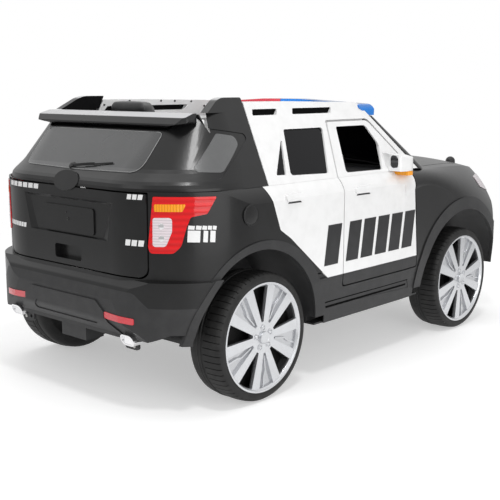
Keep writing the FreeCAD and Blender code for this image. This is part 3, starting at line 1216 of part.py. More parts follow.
def make_floor_tub():
    """Cabin floor with its side walls, and the frame that carries the seat behind it."""
    t = TUB_WALL
    x0, x1 = FLOOR_X0, FLOOR_X1
    s0, s1 = FLOOR_SIDE_X0, FLOOR_SIDE_X1
    half = FLOOR_HALF
    strip = STRIP_HALF
    wall_top = BELT_Z - 52.0
    parts = [
        box(x0, x1, -strip, strip, SILL_Z, SILL_Z + t),
        box(s0, s1, -half, half, SILL_Z, SILL_Z + t),
        box(x1 - t, X_FACE - 40.0, -strip, strip, DECK_Z, DECK_Z + t),
        box(x1 - t, x1, -strip, strip, SILL_Z, wall_top),
    ]
    for side in (1, -1):
        walls = [
            box(s1 - t, s1, strip - t, half, SILL_Z, wall_top),
            box(s1 - t, x1, strip - t, strip, SILL_Z, wall_top),
            box(s0, s1, half - t, BODY_HALF - 8.3 - WALL, SILL_Z, SILL_Z + t),
            box(s0, s1, half - t, half, SILL_Z, BELT_Z - 12.0).cut(door_region(-14.0, -FAR, FAR)),
        ]
        walls += hinge_lugs()
        parts += walls if side > 0 else [flip(shape) for shape in walls]
    tub = fuse(parts)
    for pin in pin_rod(HINGE_PIN_R):
        tub = tub.cut(pin).cut(flip(pin))
    save("floor_tub", tub)

    shelf = WHEEL_R * 2 + 59.0          # over the rear wheel liners
    back_foot = x0 - 65.0               # bulkhead behind the seat back
    back_head = X_RA - 63.0
    top = ROOF_Z - 25.0
    reach = side_half(ROOF_Z) - PILLAR_T - 2.0
    plate = [(back_foot - t, DECK_Z), (back_foot, DECK_Z), (back_head, top),
             (X_RA - 78.0, ROOF_Z - 3.0), (X_RA - 78.0 - t, ROOF_Z - 3.0), (back_head - t, top)]
    run = (back_head - back_foot) / (top - DECK_Z)
    shelf_x = back_foot + run * (shelf - DECK_Z) - t
    seat_x1 = x0 + 190.0
    seat_z = SEAT_TOP_Z - SEAT_T
    seat_y = SEAT_HALF - 5.0
    seat_box = box(x0, seat_x1, -seat_y, seat_y, SILL_Z, seat_z)
    parts = [
        box(X_TAIL + 30.0, x0 + t, -strip, strip, DECK_Z, DECK_Z + t),
        box(x0, x0 + t, -strip, strip, SILL_Z, DECK_Z + t),
        prism(plate, "xz", -strip, strip),
        prism(plate, "xz", -reach, reach).common(box(-FAR, FAR, -FAR, FAR, shelf, FAR)),
        seat_box.cut(box(x0 + t, seat_x1 - t, -seat_y + t, seat_y - t, SILL_Z + t, seat_z - t)),
    ]
    for side in (1, -1):
        column = [
            box(s0, s0 + t, strip - t, half - t, SILL_Z, shelf + t),
            box(shelf_x, s0 + t, strip - t, reach, shelf, shelf + t),
            box(shelf_x + 60.0, s0 + t, strip - t, half, shelf, shelf + t),
            box(x0, s0 + t, strip - t, strip, SILL_Z, shelf + t),
        ]
        parts += column if side > 0 else [flip(shape) for shape in column]
    save("seat_frame", fuse(parts).cut(tub))
    save("battery", box(x0 + 20.0, x0 + 170.0, -50.0, 50.0, SILL_Z + t, SILL_Z + t + 80.0))


def make_seat():
    x0 = FLOOR_X0
    low = SEAT_TOP_Z - SEAT_T
    cushion = prism([(x0 + 1.0, low), (x0 + 200.0, low, 10.0), (x0 + 204.0, SEAT_TOP_Z, 12.0),
                     (x0 + 1.0, SEAT_TOP_Z)], "xz", -SEAT_HALF, SEAT_HALF)
    save("seat_cushion", cushion)
    foot = DECK_Z + TUB_WALL
    head_x, head_z = X_RA - 10.0, ROOF_Z - 26.0
    back = prism([(x0 - 64.0, foot), (x0 - 1.0, foot), (x0 - 1.0, SEAT_TOP_Z + 8.0, 20.0),
                  (head_x, head_z, 20.0), (X_RA - 61.0, head_z, 8.0)], "xz", -SEAT_HALF, SEAT_HALF)
    save("seat_back", back)
    head = prism([(X_RA - 60.0, head_z + 1.0, 4.0), (X_RA - 18.0, head_z + 1.0, 10.0),
                  (X_RA - 36.0, ROOF_Z + 24.0, 10.0), (X_RA - 74.0, ROOF_Z + 24.0, 8.0)],
                 "xz", -HEAD_HALF, HEAD_HALF)
    front = prism([(-HEAD_HALF, head_z, 12.0), (HEAD_HALF, head_z, 12.0),
                   (HEAD_HALF, ROOF_Z + 24.0, 18.0), (-HEAD_HALF, ROOF_Z + 24.0, 18.0)],
                  "yz", X_REAR, X_FA)
    save("headrest", head.common(front))


def make_dashboard(cavity):
    foot = screen_x(BELT_Z)
    low = BELT_Z - 60.0
    half = FLOOR_HALF - 22.0
    dash = prism([(foot - 92.0, low, 10.0), (foot - 34.0, low, 10.0), (foot - 34.0, BELT_Z + 4.0, 3.0),
                  (foot - 92.0, BELT_Z + 2.0, 18.0), (foot - 112.0, BELT_Z - 27.0, 12.0)],
                 "xz", -half, half)
    point, axis = steering_axis()
    tunnel = rod(point - axis * 150.0, point, COLUMN_R + RUN_FIT)
    save("dashboard", dash.common(cavity).cut(tunnel))


def make_steering_wheel():
    centre, axis = steering_axis()
    ring_r = 9.0
    bars = [Part.makeTorus(STEER_WHEEL_R - ring_r, ring_r, V(0, 0, 0), V(0, 0, 1)),
            Part.makeCylinder(26.0, 22.0, V(0, 0, -10.0), V(0, 0, 1)),
            rod(V(0, 0, -100.0), V(0, 0, -8.0), COLUMN_R)]
    for angle in (90.0, 0.0, 270.0):
        bar = box(10.0, STEER_WHEEL_R - ring_r, -9.0, 9.0, -4.0, 4.0)
        bar.rotate(V(0, 0, 0), V(0, 0, 1), angle)
        bars.append(bar)
    wheel = fuse(bars)
    wheel.Placement = FreeCAD.Placement(centre, FreeCAD.Rotation(V(0, 1, 0), V(0, 0, 1), axis))
    save("steering_wheel", wheel)


def main():
    os.makedirs("parts", exist_ok=True)
    make_wheels()
    make_rear_axle()
    make_front_axle()
    skin, cladding, inner, cavity = make_lower_body()
    frame, sides = make_roof_frame()
    make_windscreen(frame)
    make_side_glass()
    make_rear_shell()
    make_doors(skin, cladding, sides, inner)
    make_floor_tub()
    make_seat()
    make_dashboard(cavity)
    make_steering_wheel()


main()
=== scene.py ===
"""Finishes and fittings of a child's ride-on patrol SUV, laid out as a Blender add-on."""
import json
import math

import bmesh
import bpy
from mathutils import Matrix, Vector


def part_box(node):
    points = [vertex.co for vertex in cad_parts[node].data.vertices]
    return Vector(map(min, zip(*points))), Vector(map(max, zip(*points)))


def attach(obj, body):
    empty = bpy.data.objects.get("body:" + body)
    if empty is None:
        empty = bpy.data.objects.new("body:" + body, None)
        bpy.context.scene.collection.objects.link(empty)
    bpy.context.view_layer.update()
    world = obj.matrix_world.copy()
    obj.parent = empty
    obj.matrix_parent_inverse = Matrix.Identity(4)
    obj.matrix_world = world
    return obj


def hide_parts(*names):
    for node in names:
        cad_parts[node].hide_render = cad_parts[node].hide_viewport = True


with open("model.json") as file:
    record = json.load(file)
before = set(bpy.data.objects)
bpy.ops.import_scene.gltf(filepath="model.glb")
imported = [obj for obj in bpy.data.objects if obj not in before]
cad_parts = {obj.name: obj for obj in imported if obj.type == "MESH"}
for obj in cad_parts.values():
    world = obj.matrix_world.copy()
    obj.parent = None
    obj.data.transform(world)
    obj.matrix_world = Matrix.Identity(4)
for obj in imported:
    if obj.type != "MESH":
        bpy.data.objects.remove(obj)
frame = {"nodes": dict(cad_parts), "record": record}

bl_info = {
    "name": "Ride-on patrol SUV",
    "version": (1, 0, 0),
    "blender": (4, 5, 0),
    "location": "View3D > Sidebar > Patrol SUV",
    "description": "Finishes, treads, pads, markings and small fittings of a child's ride-on SUV",
    "category": "Object",
}

MM = 0.001
NODES = frame["nodes"]
WHEELS = ("rear_left", "rear_right", "front_left", "front_right")
SIDES = ((-1, "right"), (1, "left"))
FINISHES = {}                          # filled by the first step
WEB_DEPTH = 0.0085                     # metres; painted shade darkens a wheel deeper than this
REFLECTION_HEIGHTS = (0.5895, 0.5915)        # metres; a painted sky reflection turns the roof deck paler between these


# ---------------------------------------- modelling helpers
def calm():
    """Object mode, with nothing selected."""
    if bpy.context.object is not None and bpy.context.object.mode != "OBJECT":
        bpy.ops.object.mode_set(mode="OBJECT")
    bpy.ops.object.select_all(action="DESELECT")


def only(piece):
    """Selects this one piece and makes it the active object."""
    calm()
    piece.select_set(True)
    bpy.context.view_layer.objects.active = piece
    return piece


def place(piece):
    """Puts the piece's place and size into its mesh."""
    only(piece)
    bpy.ops.object.transform_apply(location=True, rotation=True, scale=True)
    return piece


def block(low, high):
    """A box between two corners, in millimetres."""
    calm()
    middle = [(a + b) / 2 * MM for a, b in zip(low, high)]
    bpy.ops.mesh.primitive_cube_add(size=1.0, location=middle)
    piece = bpy.context.object
    piece.dimensions = [(b - a) * MM for a, b in zip(low, high)]
    return place(piece)


def drum(centre, axis, radius, depth, sides=32):
    """A round bar about centre along axis, in millimetres."""
    calm()
    turn = Vector((0, 0, 1)).rotation_difference(Vector(axis)).to_euler()
    bpy.ops.mesh.primitive_cylinder_add(vertices=sides, radius=radius * MM, depth=depth * MM,
                                        location=Vector(centre) * MM, rotation=turn)
    return place(bpy.context.object)


def finish_with(piece, kind, **settings):
    """Adds a modifier and applies it."""
    only(piece)
    modifier = piece.modifiers.new(kind.title(), kind)
    for key, value in settings.items():
        setattr(modifier, key, value)
    bpy.ops.object.modifier_apply(modifier=modifier.name)
    return piece


def rounded(piece, width, segments):
    """Rounds every edge sharper than 30 degrees by width, in millimetres."""
    return finish_with(piece, "BEVEL", width=width * MM, segments=segments,
                       limit_method="ANGLE", angle_limit=math.radians(30.0))


def edit(piece, mode="FACE"):
    """Edit mode with nothing selected; returns the mesh for choosing faces and edges."""
    only(piece)
    bpy.ops.object.mode_set(mode="EDIT")
    bpy.ops.mesh.select_mode(type=mode)
    bpy.ops.mesh.select_all(action="DESELECT")
    return bmesh.from_edit_mesh(piece.data)


def choose(piece, parts, test):
    """Selects the faces, edges or vertices that pass the test."""
    for part in parts:
        part.select_set(test(part))
    bmesh.update_edit_mesh(piece.data)


def stepped(piece, test, *steps):
    """Insets the faces that pass the test by each thickness and depth, in millimetres."""
    mesh = edit(piece)
    choose(piece, mesh.faces, test)
    for thickness, depth in steps:
        bpy.ops.mesh.inset(thickness=thickness * MM, depth=depth * MM)
    calm()
    return piece


def tidy_mesh(piece):
    """Merges doubles and turns all faces outwards."""
    edit(piece, "VERT")
    bpy.ops.mesh.select_all(action="SELECT")
    bpy.ops.mesh.remove_doubles(threshold=0.00002)
    bpy.ops.mesh.normals_make_consistent(inside=False)
    calm()
    return piece


def joined(pieces):
    """Several pieces as one mesh."""
    calm()
    for piece in pieces:
        piece.select_set(True)
    bpy.context.view_layer.objects.active = pieces[0]
    if len(pieces) > 1:
        bpy.ops.object.join()
    return bpy.context.object


def linked(piece):
    """Puts a new object into the scene."""
    bpy.context.scene.collection.objects.link(piece)
    return piece


def twin_of(piece):
    """A copy with its own mesh."""
    twin = linked(piece.copy())
    twin.data = piece.data.copy()
    return twin


def turned(piece, matrix):
    """Moves a piece's mesh by a matrix, its faces outwards even where that mirrors it."""
    piece.data.transform(matrix)
    if matrix.determinant() < 0:
        piece.data.flip_normals()
    return piece


def settle(pieces, name, slot, finish=None, body="car_body", angle=35.0):
    """Joins, names, smooths and paints finished pieces and lets them ride on their body."""
    piece = place(joined(pieces))
    bpy.ops.object.shade_smooth_by_angle(angle=math.radians(angle))
    piece.name = name
    piece.data.name = name
    piece.data.materials.clear()
    piece.data.materials.append(FINISHES[finish or slot])
    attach(piece, body)
    return piece


def bent_bar(points, across, width, thick):
    """A bar that follows points, in millimetres; across is the way its width lies."""
    start, following = Vector(points[0]), Vector(points[1])
    run = (following - start).normalized()
    wide = Vector(across).normalized()
    normal = run.cross(wide).normalized()
    calm()
    bpy.ops.mesh.primitive_plane_add(size=1.0)
    piece = bpy.context.object
    turn = Matrix((wide * width * MM, normal * thick * MM, run)).transposed().to_4x4()
    piece.data.transform(Matrix.Translation(start * MM) @ turn)
    edit(piece)
    bpy.ops.mesh.select_all(action="SELECT")
    last = start
    for point in points[1:]:
        step = (Vector(point) - last) * MM
        bpy.ops.mesh.extrude_region_move(TRANSFORM_OT_translate={"value": step})
        last = Vector(point)
    calm()
    return tidy_mesh(piece)


def wire_loop(points, radius):
    """A closed round bead along points, in millimetres."""
    calm()
    curve = bpy.data.curves.new("bead", "CURVE")
    curve.dimensions = "3D"
    line = curve.splines.new("POLY")
    line.points.add(len(points) - 1)
    for spot, point in zip(line.points, points):
        spot.co = (*(Vector(point) * MM), 1.0)
    line.use_cyclic_u = True
    curve.bevel_depth = radius * MM
    curve.bevel_resolution = 2
    only(linked(bpy.data.objects.new("bead", curve)))
    bpy.ops.object.convert(target="MESH")
    return bpy.context.object


def rounded_outline(corners, steps):
    """Points round a closed outline of (point, radius) corners."""
    points = []
    for i, (corner, radius) in enumerate(corners):
        before = (Vector(corners[i - 1][0]) - Vector(corner)).normalized()
        after = (Vector(corners[(i + 1) % len(corners)][0]) - Vector(corner)).normalized()
        half = before.angle(after) / 2
        reach = radius / math.tan(half)
        start, end = Vector(corner) + before * reach, Vector(corner) + after * reach
        for k in range(steps + 1):
            t = k / steps
            points.append(start * (1 - t) ** 2 + Vector(corner) * 2 * t * (1 - t) + end * t * t)
    return points


# ---------------------------------------- finishes
def fill(tree, node, inputs):
    """Gives each input of a node, by name or number, its value or the output it follows."""
    for key, value in inputs.items():
        if isinstance(value, bpy.types.NodeSocket):
            tree.links.new(value, node.inputs[key])
        else:
            node.inputs[key].default_value = value
    return node


def add_node(tree, kind, inputs, **settings):
    """A new node with its settings and inputs."""
    node = tree.nodes.new(kind)
    for key, value in settings.items():
        setattr(node, key, value)
    return fill(tree, node, inputs)


def coordinates(tree, kind="Object"):
    return tree.nodes.new("ShaderNodeTexCoord").outputs[kind]


def split(tree, vector):
    """The X, Y and Z of a vector."""
    return add_node(tree, "ShaderNodeSeparateXYZ", {0: vector}).outputs


def compute(tree, operation, *values):
    """The result of a Math node; each value is a number or an output."""
    return add_node(tree, "ShaderNodeMath", dict(enumerate(values)), operation=operation).outputs[0]


def ranged(tree, value, low, high, start=0.0, end=1.0):
    """Carries the range from low to high over to the range from start to end."""
    inputs = {"Value": value, "From Min": low, "From Max": high, "To Min": start, "To Max": end}
    return add_node(tree, "ShaderNodeMapRange", inputs).outputs["Result"]


def blend(tree, share, first, second):
    """Mixes two colours; each is a colour or an output."""
    inputs = {"Factor": share, 6: first, 7: second}
    return add_node(tree, "ShaderNodeMix", inputs, data_type="RGBA").outputs[2]


def bumps(tree, height, depth, strength=1.0):
    """The direction of a surface that follows a height."""
    inputs = {"Height": height, "Distance": depth, "Strength": strength}
    return add_node(tree, "ShaderNodeBump", inputs).outputs["Normal"]


def mix_shaders(tree, share, first, second, sink):
    """Sends two shader nodes, mixed by a share, to the output node named sink."""
    inputs = {"Fac": share, 1: first.outputs[0], 2: second.outputs[0]}
    mix = add_node(tree, "ShaderNodeMixShader", inputs)
    fill(tree, tree.nodes[sink], {"Surface": mix.outputs["Shader"]})


def moulding_group():
    """Moulded surface: patches of a worn colour, slow changes of polish and a fine grain."""
    group = bpy.data.node_groups.new("moulded_surface", "ShaderNodeTree")
    for way, kind, names in (
            ("INPUT", "NodeSocketColor", ("Colour", "Worn colour")),
            ("INPUT", "NodeSocketFloat",
             ("Wear", "Roughness", "Unevenness", "Grain size", "Grain")),
            ("OUTPUT", "NodeSocketColor", ("Colour",)),
            ("OUTPUT", "NodeSocketFloat", ("Roughness", "Height"))):
        for name in names:
            group.interface.new_socket(name=name, in_out=way, socket_type=kind)
    given, sink = group.nodes.new("NodeGroupInput").outputs, group.nodes.new("NodeGroupOutput")
    where = coordinates(group)

    def noise(scale, detail):
        inputs = {"Vector": where, "Scale": scale, "Detail": detail}
        return add_node(group, "ShaderNodeTexNoise", inputs).outputs["Fac"]

    patches = ranged(group, noise(38.0, 5.0), 0.42, 0.72)
    worn = compute(group, "MULTIPLY", patches, given["Wear"])
    cloudy = compute(group, "SUBTRACT", noise(7.0, 3.0), 0.5)
    grain = noise(given["Grain size"], 2.0)
    fill(group, sink, {
        "Colour": blend(group, worn, given["Colour"], given["Worn colour"]),
        "Roughness": compute(group, "MULTIPLY_ADD", cloudy, given["Unevenness"],
                             given["Roughness"]),
        "Height": compute(group, "MULTIPLY", grain, given["Grain"])})
    return group


def blank_material(name):
    material = bpy.data.materials.new(name)
    material.use_nodes = True
    return material, material.node_tree, material.node_tree.nodes["Principled BSDF"]


def moulded(group, name, colour, worn, roughness, wear, uneven, grain_size, grain,
            grain_depth=0.00006, **sockets):
    """A moulded plastic, rubber or metal finish made with the shared surface group."""
    material, tree, shader = blank_material(name)
    surface = add_node(tree, "ShaderNodeGroup", {
        "Colour": (*colour, 1.0), "Worn colour": (*worn, 1.0), "Wear": wear,
        "Roughness": roughness, "Unevenness": uneven, "Grain size": grain_size,
        "Grain": grain}, node_tree=group).outputs
    fill(tree, shader, {"Base Color": surface["Colour"], "Roughness": surface["Roughness"],
                        "Normal": bumps(tree, surface["Height"], grain_depth)})
    fill(tree, shader, {key.replace("_", " "): value for key, value in sockets.items()})
    return material


def lens(name, colour, rib_scale, rib_axis, roughness=0.08, transmission=0.1, depth=0.0004):
    """A clear or tinted lamp lens with moulded ribs on its inner side, its colour darker between
    the ribs as painted shade.
    """
    material, tree, shader = blank_material(name)
    where = coordinates(tree)
    ribs = add_node(tree, "ShaderNodeTexWave", {"Scale": rib_scale, "Vector": where},
                    wave_type="BANDS", bands_direction=rib_axis).outputs["Fac"]
    cells = add_node(tree, "ShaderNodeTexVoronoi", {"Scale": rib_scale * 4.0, "Vector": where})
    height = compute(tree, "MULTIPLY_ADD", cells.outputs["Distance"], 0.35, ribs)
    between = [c * 0.78 for c in colour]                # painted shade: darker colour between two ribs
    fill(tree, shader, {
        "Base Color": blend(tree, ribs, (*between, 1.0), (*colour, 1.0)),
        "Normal": bumps(tree, height, depth, 0.6),
        "Roughness": roughness, "Transmission Weight": transmission,
        "Specular IOR Level": 0.3, "Coat Weight": 0.35, "Coat Roughness": 0.03})
    return material


def smoked(name, colour, roughness):
    """Tinted pane with faint smears in its polish."""
    material, tree, shader = blank_material(name)
    smear = add_node(tree, "ShaderNodeTexNoise",
                     {"Scale": 14.0, "Detail": 4.0, "Vector": coordinates(tree)})
    polish = ranged(tree, smear.outputs["Fac"], 0.0, 1.0, roughness, roughness + 0.08)
    fill(tree, shader, {"Base Color": (*colour, 1.0), "Roughness": polish,
                        "Specular IOR Level": 0.14})
    return material


def tint(material, share, colour):
    """Mixes a share of a colour into whatever makes up a finish's base colour."""
    tree = material.node_tree
    shader = tree.nodes["Principled BSDF"]
    base = shader.inputs["Base Color"].links[0].from_socket
    fill(tree, shader, {"Base Color": blend(tree, share, base, (*colour, 1.0))})


def painted_deck_reflection(material, low, high, pale):
    """Painted reflection: turns a finish paler where the surface lies high and flat, as the sky
    reflected in a polished roof deck looks.
    """
    tree = material.node_tree
    height = ranged(tree, split(tree, coordinates(tree))["Z"], low, high)
    flat = ranged(tree, split(tree, coordinates(tree, "Normal"))["Z"], 0.90, 0.955)
    tint(material, compute(tree, "MULTIPLY", height, flat), pale)


def painted_web_shade(material, face, depth, dark):
    """Painted shade: darkens a wheel finish deeper than depth behind the wheel's outer face, where
    the recessed webs lie.
    """
    tree = material.node_tree
    aside = compute(tree, "ABSOLUTE", split(tree, coordinates(tree))["Y"])
    tint(material, ranged(tree, aside, face - depth, face - depth - 0.002), dark)


def make_finishes(paint):
    """Every finish of the object, by the record's slot names and some names of its own."""
    group = moulding_group()
    made = {}

    def surface(slot, *look, name=None, **sockets):
        """look: colour, worn colour, roughness, wear, unevenness, then size and amount of grain."""
        made[slot] = moulded(group, name or slot, *look, **sockets)

    black = tuple(paint.body_black)
    surface("satin_black", black, (0.014, 0.014, 0.0145), 0.29, 0.3, 0.08, 1400.0, 0.4,
            Coat_Weight=0.12, Coat_Roughness=0.08, Specular_IOR_Level=0.31)
    surface("gloss_black", black, (0.014, 0.014, 0.0145), 0.16, 0.2, 0.06, 700.0, 0.15,
            Coat_Weight=0.5, Coat_Roughness=0.04, Specular_IOR_Level=0.36)
    surface("trim_black", (0.020, 0.020, 0.021), (0.042, 0.042, 0.042), 0.50, 0.35, 0.12, 2600.0,
            1.0, 0.00012, Specular_IOR_Level=0.4)
    # near-black finish of the strips and lines of painted shade in the rail slots and along the
    # sills
    surface("deep_black", (0.003, 0.003, 0.003), (0.006, 0.006, 0.006), 0.8, 0.2, 0.05, 900.0, 0.2,
            Specular_IOR_Level=0.05)
    surface("white", tuple(paint.panel_white), (0.66, 0.66, 0.655), 0.22, 0.25, 0.05, 500.0, 0.12,
            name="panel_white", Coat_Weight=0.6, Coat_Roughness=0.05)
    surface("tyre_black", (0.011, 0.011, 0.011), (0.032, 0.031, 0.030), 0.58, 0.5, 0.15, 1800.0,
            1.0, 0.00015, Specular_IOR_Level=0.3)
    surface("silver", tuple(paint.wheel_silver), (0.5, 0.5, 0.51), 0.24, 0.25, 0.08, 900.0, 0.25,
            name="wheel_silver", Metallic=0.75, Coat_Weight=0.7, Coat_Roughness=0.06)
    surface("steel", (0.5, 0.5, 0.49), (0.3, 0.29, 0.27), 0.38, 0.5, 0.15, 1200.0, 0.5,
            name="zinc_steel", Metallic=1.0)
    surface("chrome", (0.82, 0.82, 0.83), (0.6, 0.6, 0.6), 0.07, 0.15, 0.05, 300.0, 0.1,
            Metallic=1.0)
    surface("mirror", (0.85, 0.86, 0.88), (0.7, 0.7, 0.72), 0.04, 0.1, 0.02, 200.0, 0.05,
            Metallic=1.0)
    surface("seat_vinyl", (0.022, 0.022, 0.023), (0.05, 0.05, 0.05), 0.42, 0.4, 0.12, 420.0, 1.6,
            0.00035, Coat_Weight=0.15, Coat_Roughness=0.3)
    surface("battery_grey", (0.09, 0.09, 0.095), (0.15, 0.15, 0.15), 0.5, 0.3, 0.1, 1500.0, 0.6)
    surface("grey_pane", (0.032, 0.033, 0.034), (0.05, 0.05, 0.052), 0.27, 0.3, 0.10, 300.0, 0.2,
            Coat_Weight=0.5, Coat_Roughness=0.08)
    surface("quarter_pane", (0.085, 0.087, 0.088), (0.11, 0.11, 0.112), 0.27, 0.3, 0.10, 300.0, 0.2,
            Coat_Weight=0.5, Coat_Roughness=0.08)
    surface("mark_dark", tuple(paint.mark_dark), (0.05, 0.05, 0.055), 0.34, 0.2, 0.06, 800.0, 0.2)
    surface("mark_light", tuple(paint.mark_light), (0.6, 0.6, 0.6), 0.3, 0.2, 0.06, 800.0, 0.2)
    surface("reflector_red", (0.62, 0.03, 0.045), (0.5, 0.02, 0.03), 0.22, 0.2, 0.05, 260.0, 2.0,
            0.0004, Coat_Weight=0.7)
    for name, *look in (("red_lens", (0.80, 0.006, 0.009), 26.0, "Z"),
                        ("blue_lens", (0.008, 0.22, 0.74), 40.0, "Y"),
                        ("amber_lens", (0.95, 0.36, 0.01), 70.0, "Y", 0.08, 0.0, 0.0009),
                        ("clear_lens", (0.94, 0.84, 0.88), 60.0, "Z", 0.1, 0.2, 0.0006),
                        ("bar_red", (0.72, 0.05, 0.08), 40.0, "Y")):
        made[name] = lens(name, *look)
    for name, *look in (("smoked_glass", (0.006, 0.006, 0.007), 0.06),
                        # the bead's pale grey is partly a painted highlight on the rear window's
                        # edge
                        ("bead_highlight_grey", (0.32, 0.32, 0.32), 0.1)):
        made[name] = smoked(name, *look)
    # painted shade in the recessed webs between the spokes of the silver trims
    painted_web_shade(made["silver"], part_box("rim_rear_left")[1].y, WEB_DEPTH, (0.20, 0.20, 0.21))
    # painted sky reflection on the high, flat tops of the satin black roof deck
    painted_deck_reflection(made["satin_black"], *REFLECTION_HEIGHTS, (0.52, 0.52, 0.53))
    return made


# ---------------------------------------- properties
COLOUR = {"subtype": "COLOR", "size": 3, "min": 0.0, "max": 1.0}
LENGTH = {"subtype": "DISTANCE", "unit": "LENGTH"}


class PaintSettings(bpy.types.PropertyGroup):
    """Colours of the toy."""
    body_black: bpy.props.FloatVectorProperty(
        name="Body black", description="Satin black of tail, roof shell, nose and bonnet",
        **COLOUR, default=(0.008, 0.008, 0.0083))
    panel_white: bpy.props.FloatVectorProperty(
        name="Panel white", description="White of doors, side panels and roof frame",
        **COLOUR, default=(0.84, 0.84, 0.84))
    wheel_silver: bpy.props.FloatVectorProperty(
        name="Wheel silver", description="Silver of the wheel trims",
        **COLOUR, default=(0.60, 0.61, 0.63))
    mark_dark: bpy.props.FloatVectorProperty(
        name="Dark markings", description="Slanted bars on the white doors",
        **COLOUR, default=(0.006, 0.006, 0.007))
    mark_light: bpy.props.FloatVectorProperty(
        name="Light markings", description="Short bars on the black tail",
        **COLOUR, default=(0.80, 0.80, 0.80))


class WheelSettings(bpy.types.PropertyGroup):
    """Treads and trims of the four wheels."""
    blocks: bpy.props.IntProperty(
        name="Tread blocks", description="Cross grooves round each tyre",
        default=60, min=24, max=96)
    groove: bpy.props.FloatProperty(
        name="Groove depth", description="Depth of the cross grooves",
        **LENGTH, default=0.0022, min=0.0005, max=0.004)
    rib_width: bpy.props.FloatProperty(
        name="Rib width", description="Width of the thin ribs between paired spokes",
        **LENGTH, default=0.003, min=0.001, max=0.006)


class MarkSettings(bpy.types.PropertyGroup):
    """Generic bars in place of words."""
    slant: bpy.props.FloatProperty(
        name="Slant", description="How far the top of a door bar leans forward",
        **LENGTH, default=0.014, min=0.0, max=0.03)
    film: bpy.props.FloatProperty(
        name="Film thickness", description="Thickness of the stick-on film",
        **LENGTH, default=0.0004, min=0.0001, max=0.001)


class PadSettings(bpy.types.PropertyGroup):
    """Padding of seat, seat back and headrest."""
    pressure: bpy.props.FloatProperty(
        name="Filling", description="Pressure inside the pads", default=4.0, min=0.0, max=10.0)
    swell: bpy.props.FloatProperty(
        name="Swell", description="How far a pad's cover may stand out",
        **LENGTH, default=0.007, min=0.0, max=0.02)


# ---------------------------------------- wheels
TYRE_PROFILE = (
    # depth from the outer face, radius
    (3.0, 117.3), (1.2, 119.0), (0.6, 123.0), (1.0, 128.0), (3.2, 132.4), (8.0, 135.6),
    (16.0, 137.0), (28.0, 137.8), (40.0, 137.9), (47.0, 137.6), (48.2, 135.9), (53.5, 135.9),
    (54.6, 137.6), (57.5, 137.9), (58.6, 136.8), (61.0, 136.8), (62.1, 137.9), (65.0, 137.6),
    (66.2, 135.9), (74.0, 136.2), (81.0, 135.4), (86.0, 132.8), (89.0, 128.5), (89.6, 122.0),
    (88.6, 117.3), (88.0, 111.2), (44.0, 111.2), (44.0, 22.0), (86.0, 22.0), (86.0, 6.2),
    (18.2, 6.2), (18.2, 21.6), (38.0, 21.8), (38.0, 111.2), (31.0, 116.8),
)
GROOVED = (2.5, 47.1)                  # cross grooves run between these depths
TREAD_RADIUS = 0.130                   # metres; edges further out belong to the tread
ONE_BLOCK = 0.008                      # metres; edges longer than this run round the tyre


def onto_wheel(name):
    """Carries a piece made facing +Y at the origin to the middle of a wheel's outer face."""
    low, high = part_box("tyre_" + name)
    side = 1 if name.endswith("left") else -1
    face = high.y if side > 0 else low.y
    centre = Vector(((low.x + high.x) / 2, face, (low.z + high.z) / 2))
    return Matrix.Translation(centre) @ Matrix.Diagonal((1, side, 1, 1))


def make_tyre(settings):
    """A tyre at the origin, facing +Y: a spun profile with cross grooves pressed in."""
    calm()
    bpy.ops.mesh.primitive_circle_add(vertices=len(TYRE_PROFILE), radius=0.1)
    piece = bpy.context.object
    mesh = edit(piece, "VERT")
    mesh.verts.ensure_lookup_table()
    for vertex, (depth, radius) in zip(mesh.verts, TYRE_PROFILE):
        vertex.co = Vector((0.0, -depth * MM, radius * MM))
    bmesh.update_edit_mesh(piece.data)
    bpy.ops.mesh.select_all(action="SELECT")
    bpy.ops.mesh.spin(steps=settings.blocks, angle=math.tau, center=(0, 0, 0), axis=(0, 1, 0))
    tidy_mesh(piece)
    mesh = edit(piece, "EDGE")
    low, high = -GROOVED[1] * MM, -GROOVED[0] * MM

    def across_tread(edge):
        a, b = (v.co for v in edge.verts)
        run = b - a
        outer = min(math.hypot(v.x, v.z) for v in (a, b)) > TREAD_RADIUS
        around = Vector((run.x, 0, run.z)).length > ONE_BLOCK
        return outer and not around and low <= a.y <= high and low <= b.y <= high

    choose(piece, mesh.edges, across_tread)
    bpy.ops.mesh.bevel(offset=0.0009, segments=1, clamp_overlap=True)
    bpy.ops.mesh.select_mode(type="FACE")
    bpy.ops.mesh.inset(thickness=0.0003, depth=-settings.groove)
    calm()
    return piece


class SUV_OT_tyres(bpy.types.Operator):
    """Replaces the plain tyres by ones with shoulder grooves and a ridge round the tread"""
    bl_idname = "patrol_suv.tyres"
    bl_label = "Tyres"

    def execute(self, context):
        pattern = make_tyre(context.scene.suv_wheels)
        for name in WHEELS:
            tyre = turned(twin_of(pattern), onto_wheel(name))
            settle([tyre], "tread_" + name, "tyre_black", body="wheel_" + name, angle=40.0)
            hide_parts("tyre_" + name)
        bpy.data.objects.remove(pattern)
        return {"FINISHED"}


RIB = ((40.0, 0.0), (72.0, 1.5), (84.0, -4.5), (111.0, -9.0))      # radius, offset to the side
RIB_DEPTH, RIB_THICK = 9.0, 7.0        # behind the tyre's outer face, and front to back
NUT_RING, NUT_DEPTH = 22.0, 4.6        # radius of the ring, depth behind the outer face
PAIRS = 5
# Angle of one pair of spokes on each wheel, in degrees
PAIR_ANGLE = {"rear_left": 59.0, "rear_right": 59.0, "front_left": 68.0, "front_right": 68.0}


def wheel_point(radius, offset, angle, depth):
    """A point on a wheel trim: radius and sideways offset of a spoke at angle, depth inwards."""
    c, s = math.cos(angle), math.sin(angle)
    return (radius * c - offset * s, -depth, radius * s + offset * c)


